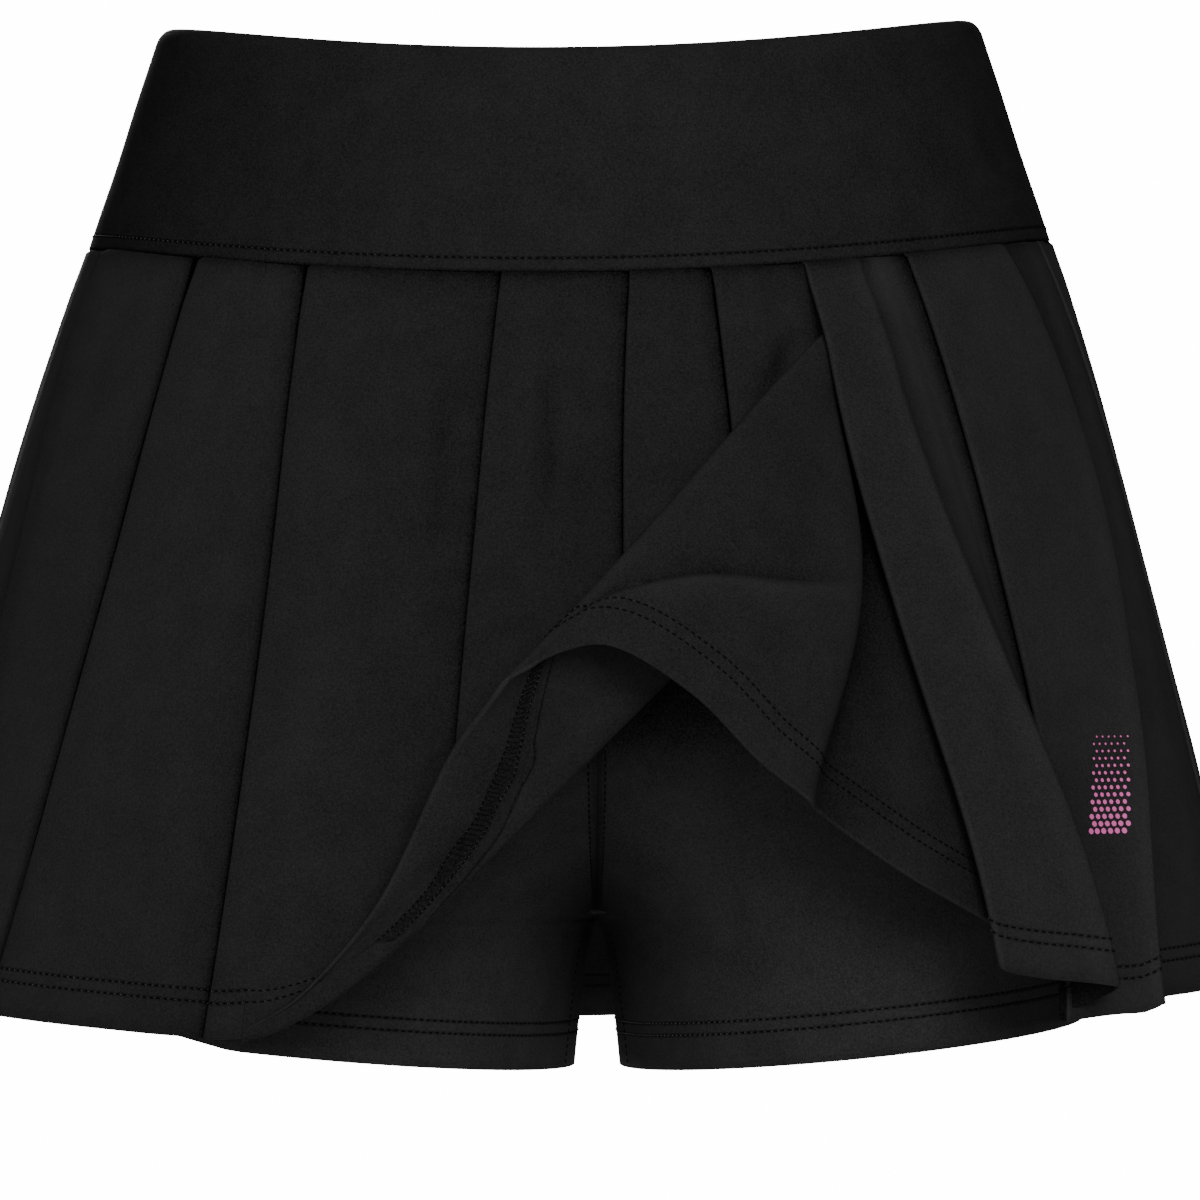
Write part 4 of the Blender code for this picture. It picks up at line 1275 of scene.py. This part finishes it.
pink = Finish("pink_print")
pink.set(Base_Color=(0.46, 0.085, 0.26, 1.0), Roughness=0.55, Specular_IOR_Level=0.2)
tree = sheet_tree(right_rows, (0, len(right_rows[0])))
bm = bmesh.new()
for j in range(DOT_ROWS):
    up = (j - 0.5 * (DOT_ROWS - 1)) * DOT_PITCH
    radius = mix(DOT_SIZES[1], DOT_SIZES[0], j / (DOT_ROWS - 1))
    for i in range(DOT_COLUMNS):
        across = (i - 0.5 * (DOT_COLUMNS - 1) + 0.5 * (j % 2) - 0.25) * DOT_PITCH + up * DOT_SLANT
        depth = DOT_MIDDLE[1] - up
        bearing = DOT_MIDDLE[0] + degrees_for(across, DOT_MIDDLE[0], depth)
        start, aim = form_point(bearing, 90.0, depth), form_point(bearing, 0.0, depth)
        place, facing = tree.ray_cast(start, (aim - start).normalized())[:2]
        if facing.dot(start - place) < 0.0:
            facing = -facing
        turn = facing.to_track_quat("Z", "Y")
        disc = bmesh.ops.create_circle(bm, cap_ends=True, segments=12, radius=radius)["verts"]
        for vert in disc:
            vert.co = (turn @ vert.co + place + facing * (0.5 * SKIRT_WALL + DOT_LIFT)) * MM
new_piece("printed_dots", bm, pink.material)

# ---------------------------------------------------------------- hem stitching
# The coverstitch that holds each hem shows outside as two even rows of small black stitches.
RISE_LENGTH = 29.0          # of the left panels' hem, where it rises into the turned up front
off = 0.5 * SKIRT_WALL
hem_lines = []
for distance in HEM_ROWS:
    line = []
    for c, point in enumerate(left_rows[-1]):
        rising = min(1.0, max(0.0, (point.x - CUT_LINE[0][0]) / RISE_LENGTH))
        if point.x < CUT_LINE[0][0] + RISE_LENGTH:
            line += line_above_hem(left_rows, distance * (1.0 - 0.5 * rising), [c], off)
    hem_lines.append(line)
for rows, hem_columns in ((right_rows, right_hem), (back_rows, range(len(back_rows[0])))):
    for distance in HEM_ROWS:
        hem_lines.append(line_above_hem(rows, distance, hem_columns, off))
for distance in HEM_ROWS:
    hem_lines.append(hem_offset(flap_rows, distance, [1.0] * len(opening), -off)[face_starts:])
stitches("skirt_hem_stitching", hem_lines, black_thread)
leg_lines = []
for rows in leg_rows.values():
    for distance in HEM_ROWS:
        leg_lines.append(line_above_hem(rows, distance, range(len(rows[0])), 0.5 * SHORTS_WALL))
stitches("shorts_hem_stitching", leg_lines, black_thread)

# ---------------------------------------------------------------- floor, light and camera
# A plain pale floor far below the garment, soft light from the front and above, one light behind
# that shows the back when the garment is turned, and a level view.
FLOOR_Z = -0.95             # metres, as are the radius and the places here
FLOOR_RADIUS = 2.2
LIT_POINT = (0.0, 0.0, -0.18)
SKY_LIGHT = 0.12
SKY_SEEN = 15.5
CAMERA_PLACE = (0.0099, -2.5, -0.1935)
LENS = 220.6

pale = Finish("pale_floor")
pale.set(Base_Color=(0.85, 0.85, 0.85, 1.0), Roughness=0.9)
bm = bmesh.new()
for vert in bmesh.ops.create_circle(bm, cap_ends=True, segments=64, radius=FLOOR_RADIUS)["verts"]:
    vert.co.z = FLOOR_Z
new_object("floor", bm, pale.material)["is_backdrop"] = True

for name, place, size, power in (
        ("key", (0.62, -2.5, 0.9), 1.2, 77.0),
        ("fill", (-0.7, -2.7, -0.1), 1.4, 30.0),
        ("top", (0.1, -0.2, 1.7), 1.2, 14.0),
        ("back", (-0.3, 2.6, 0.7), 1.2, 70.0)):
    lamp = bpy.data.lights.new(name, "AREA")
    lamp.size = size
    lamp.energy = power
    light = bpy.data.objects.new(name, lamp)
    light.location = place
    aim = Vector(LIT_POINT) - Vector(place)
    light.rotation_euler = aim.to_track_quat("-Z", "Y").to_euler()
    bpy.context.scene.collection.objects.link(light)

world = bpy.data.worlds.new("studio")
bpy.context.scene.world = world
world.use_nodes = True
sky = world.node_tree
seen = sky.nodes.new("ShaderNodeLightPath")
strength = sky.nodes.new("ShaderNodeMapRange")
strength.inputs["To Min"].default_value = SKY_LIGHT
strength.inputs["To Max"].default_value = SKY_SEEN
sky.links.new(seen.outputs["Is Camera Ray"], strength.inputs["Value"])
sky.nodes["Background"].inputs["Color"].default_value = (1.0, 1.0, 1.0, 1.0)
sky.links.new(strength.outputs["Result"], sky.nodes["Background"].inputs["Strength"])

view = bpy.data.cameras.new("camera")
view.sensor_width = 36.0
view.lens = LENS
view.clip_end = 20.0
camera = bpy.data.objects.new("camera", view)
camera.location = CAMERA_PLACE
camera.rotation_euler = (math.radians(90.0), 0.0, 0.0)
bpy.context.scene.collection.objects.link(camera)
bpy.context.scene.camera = camera

low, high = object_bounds()
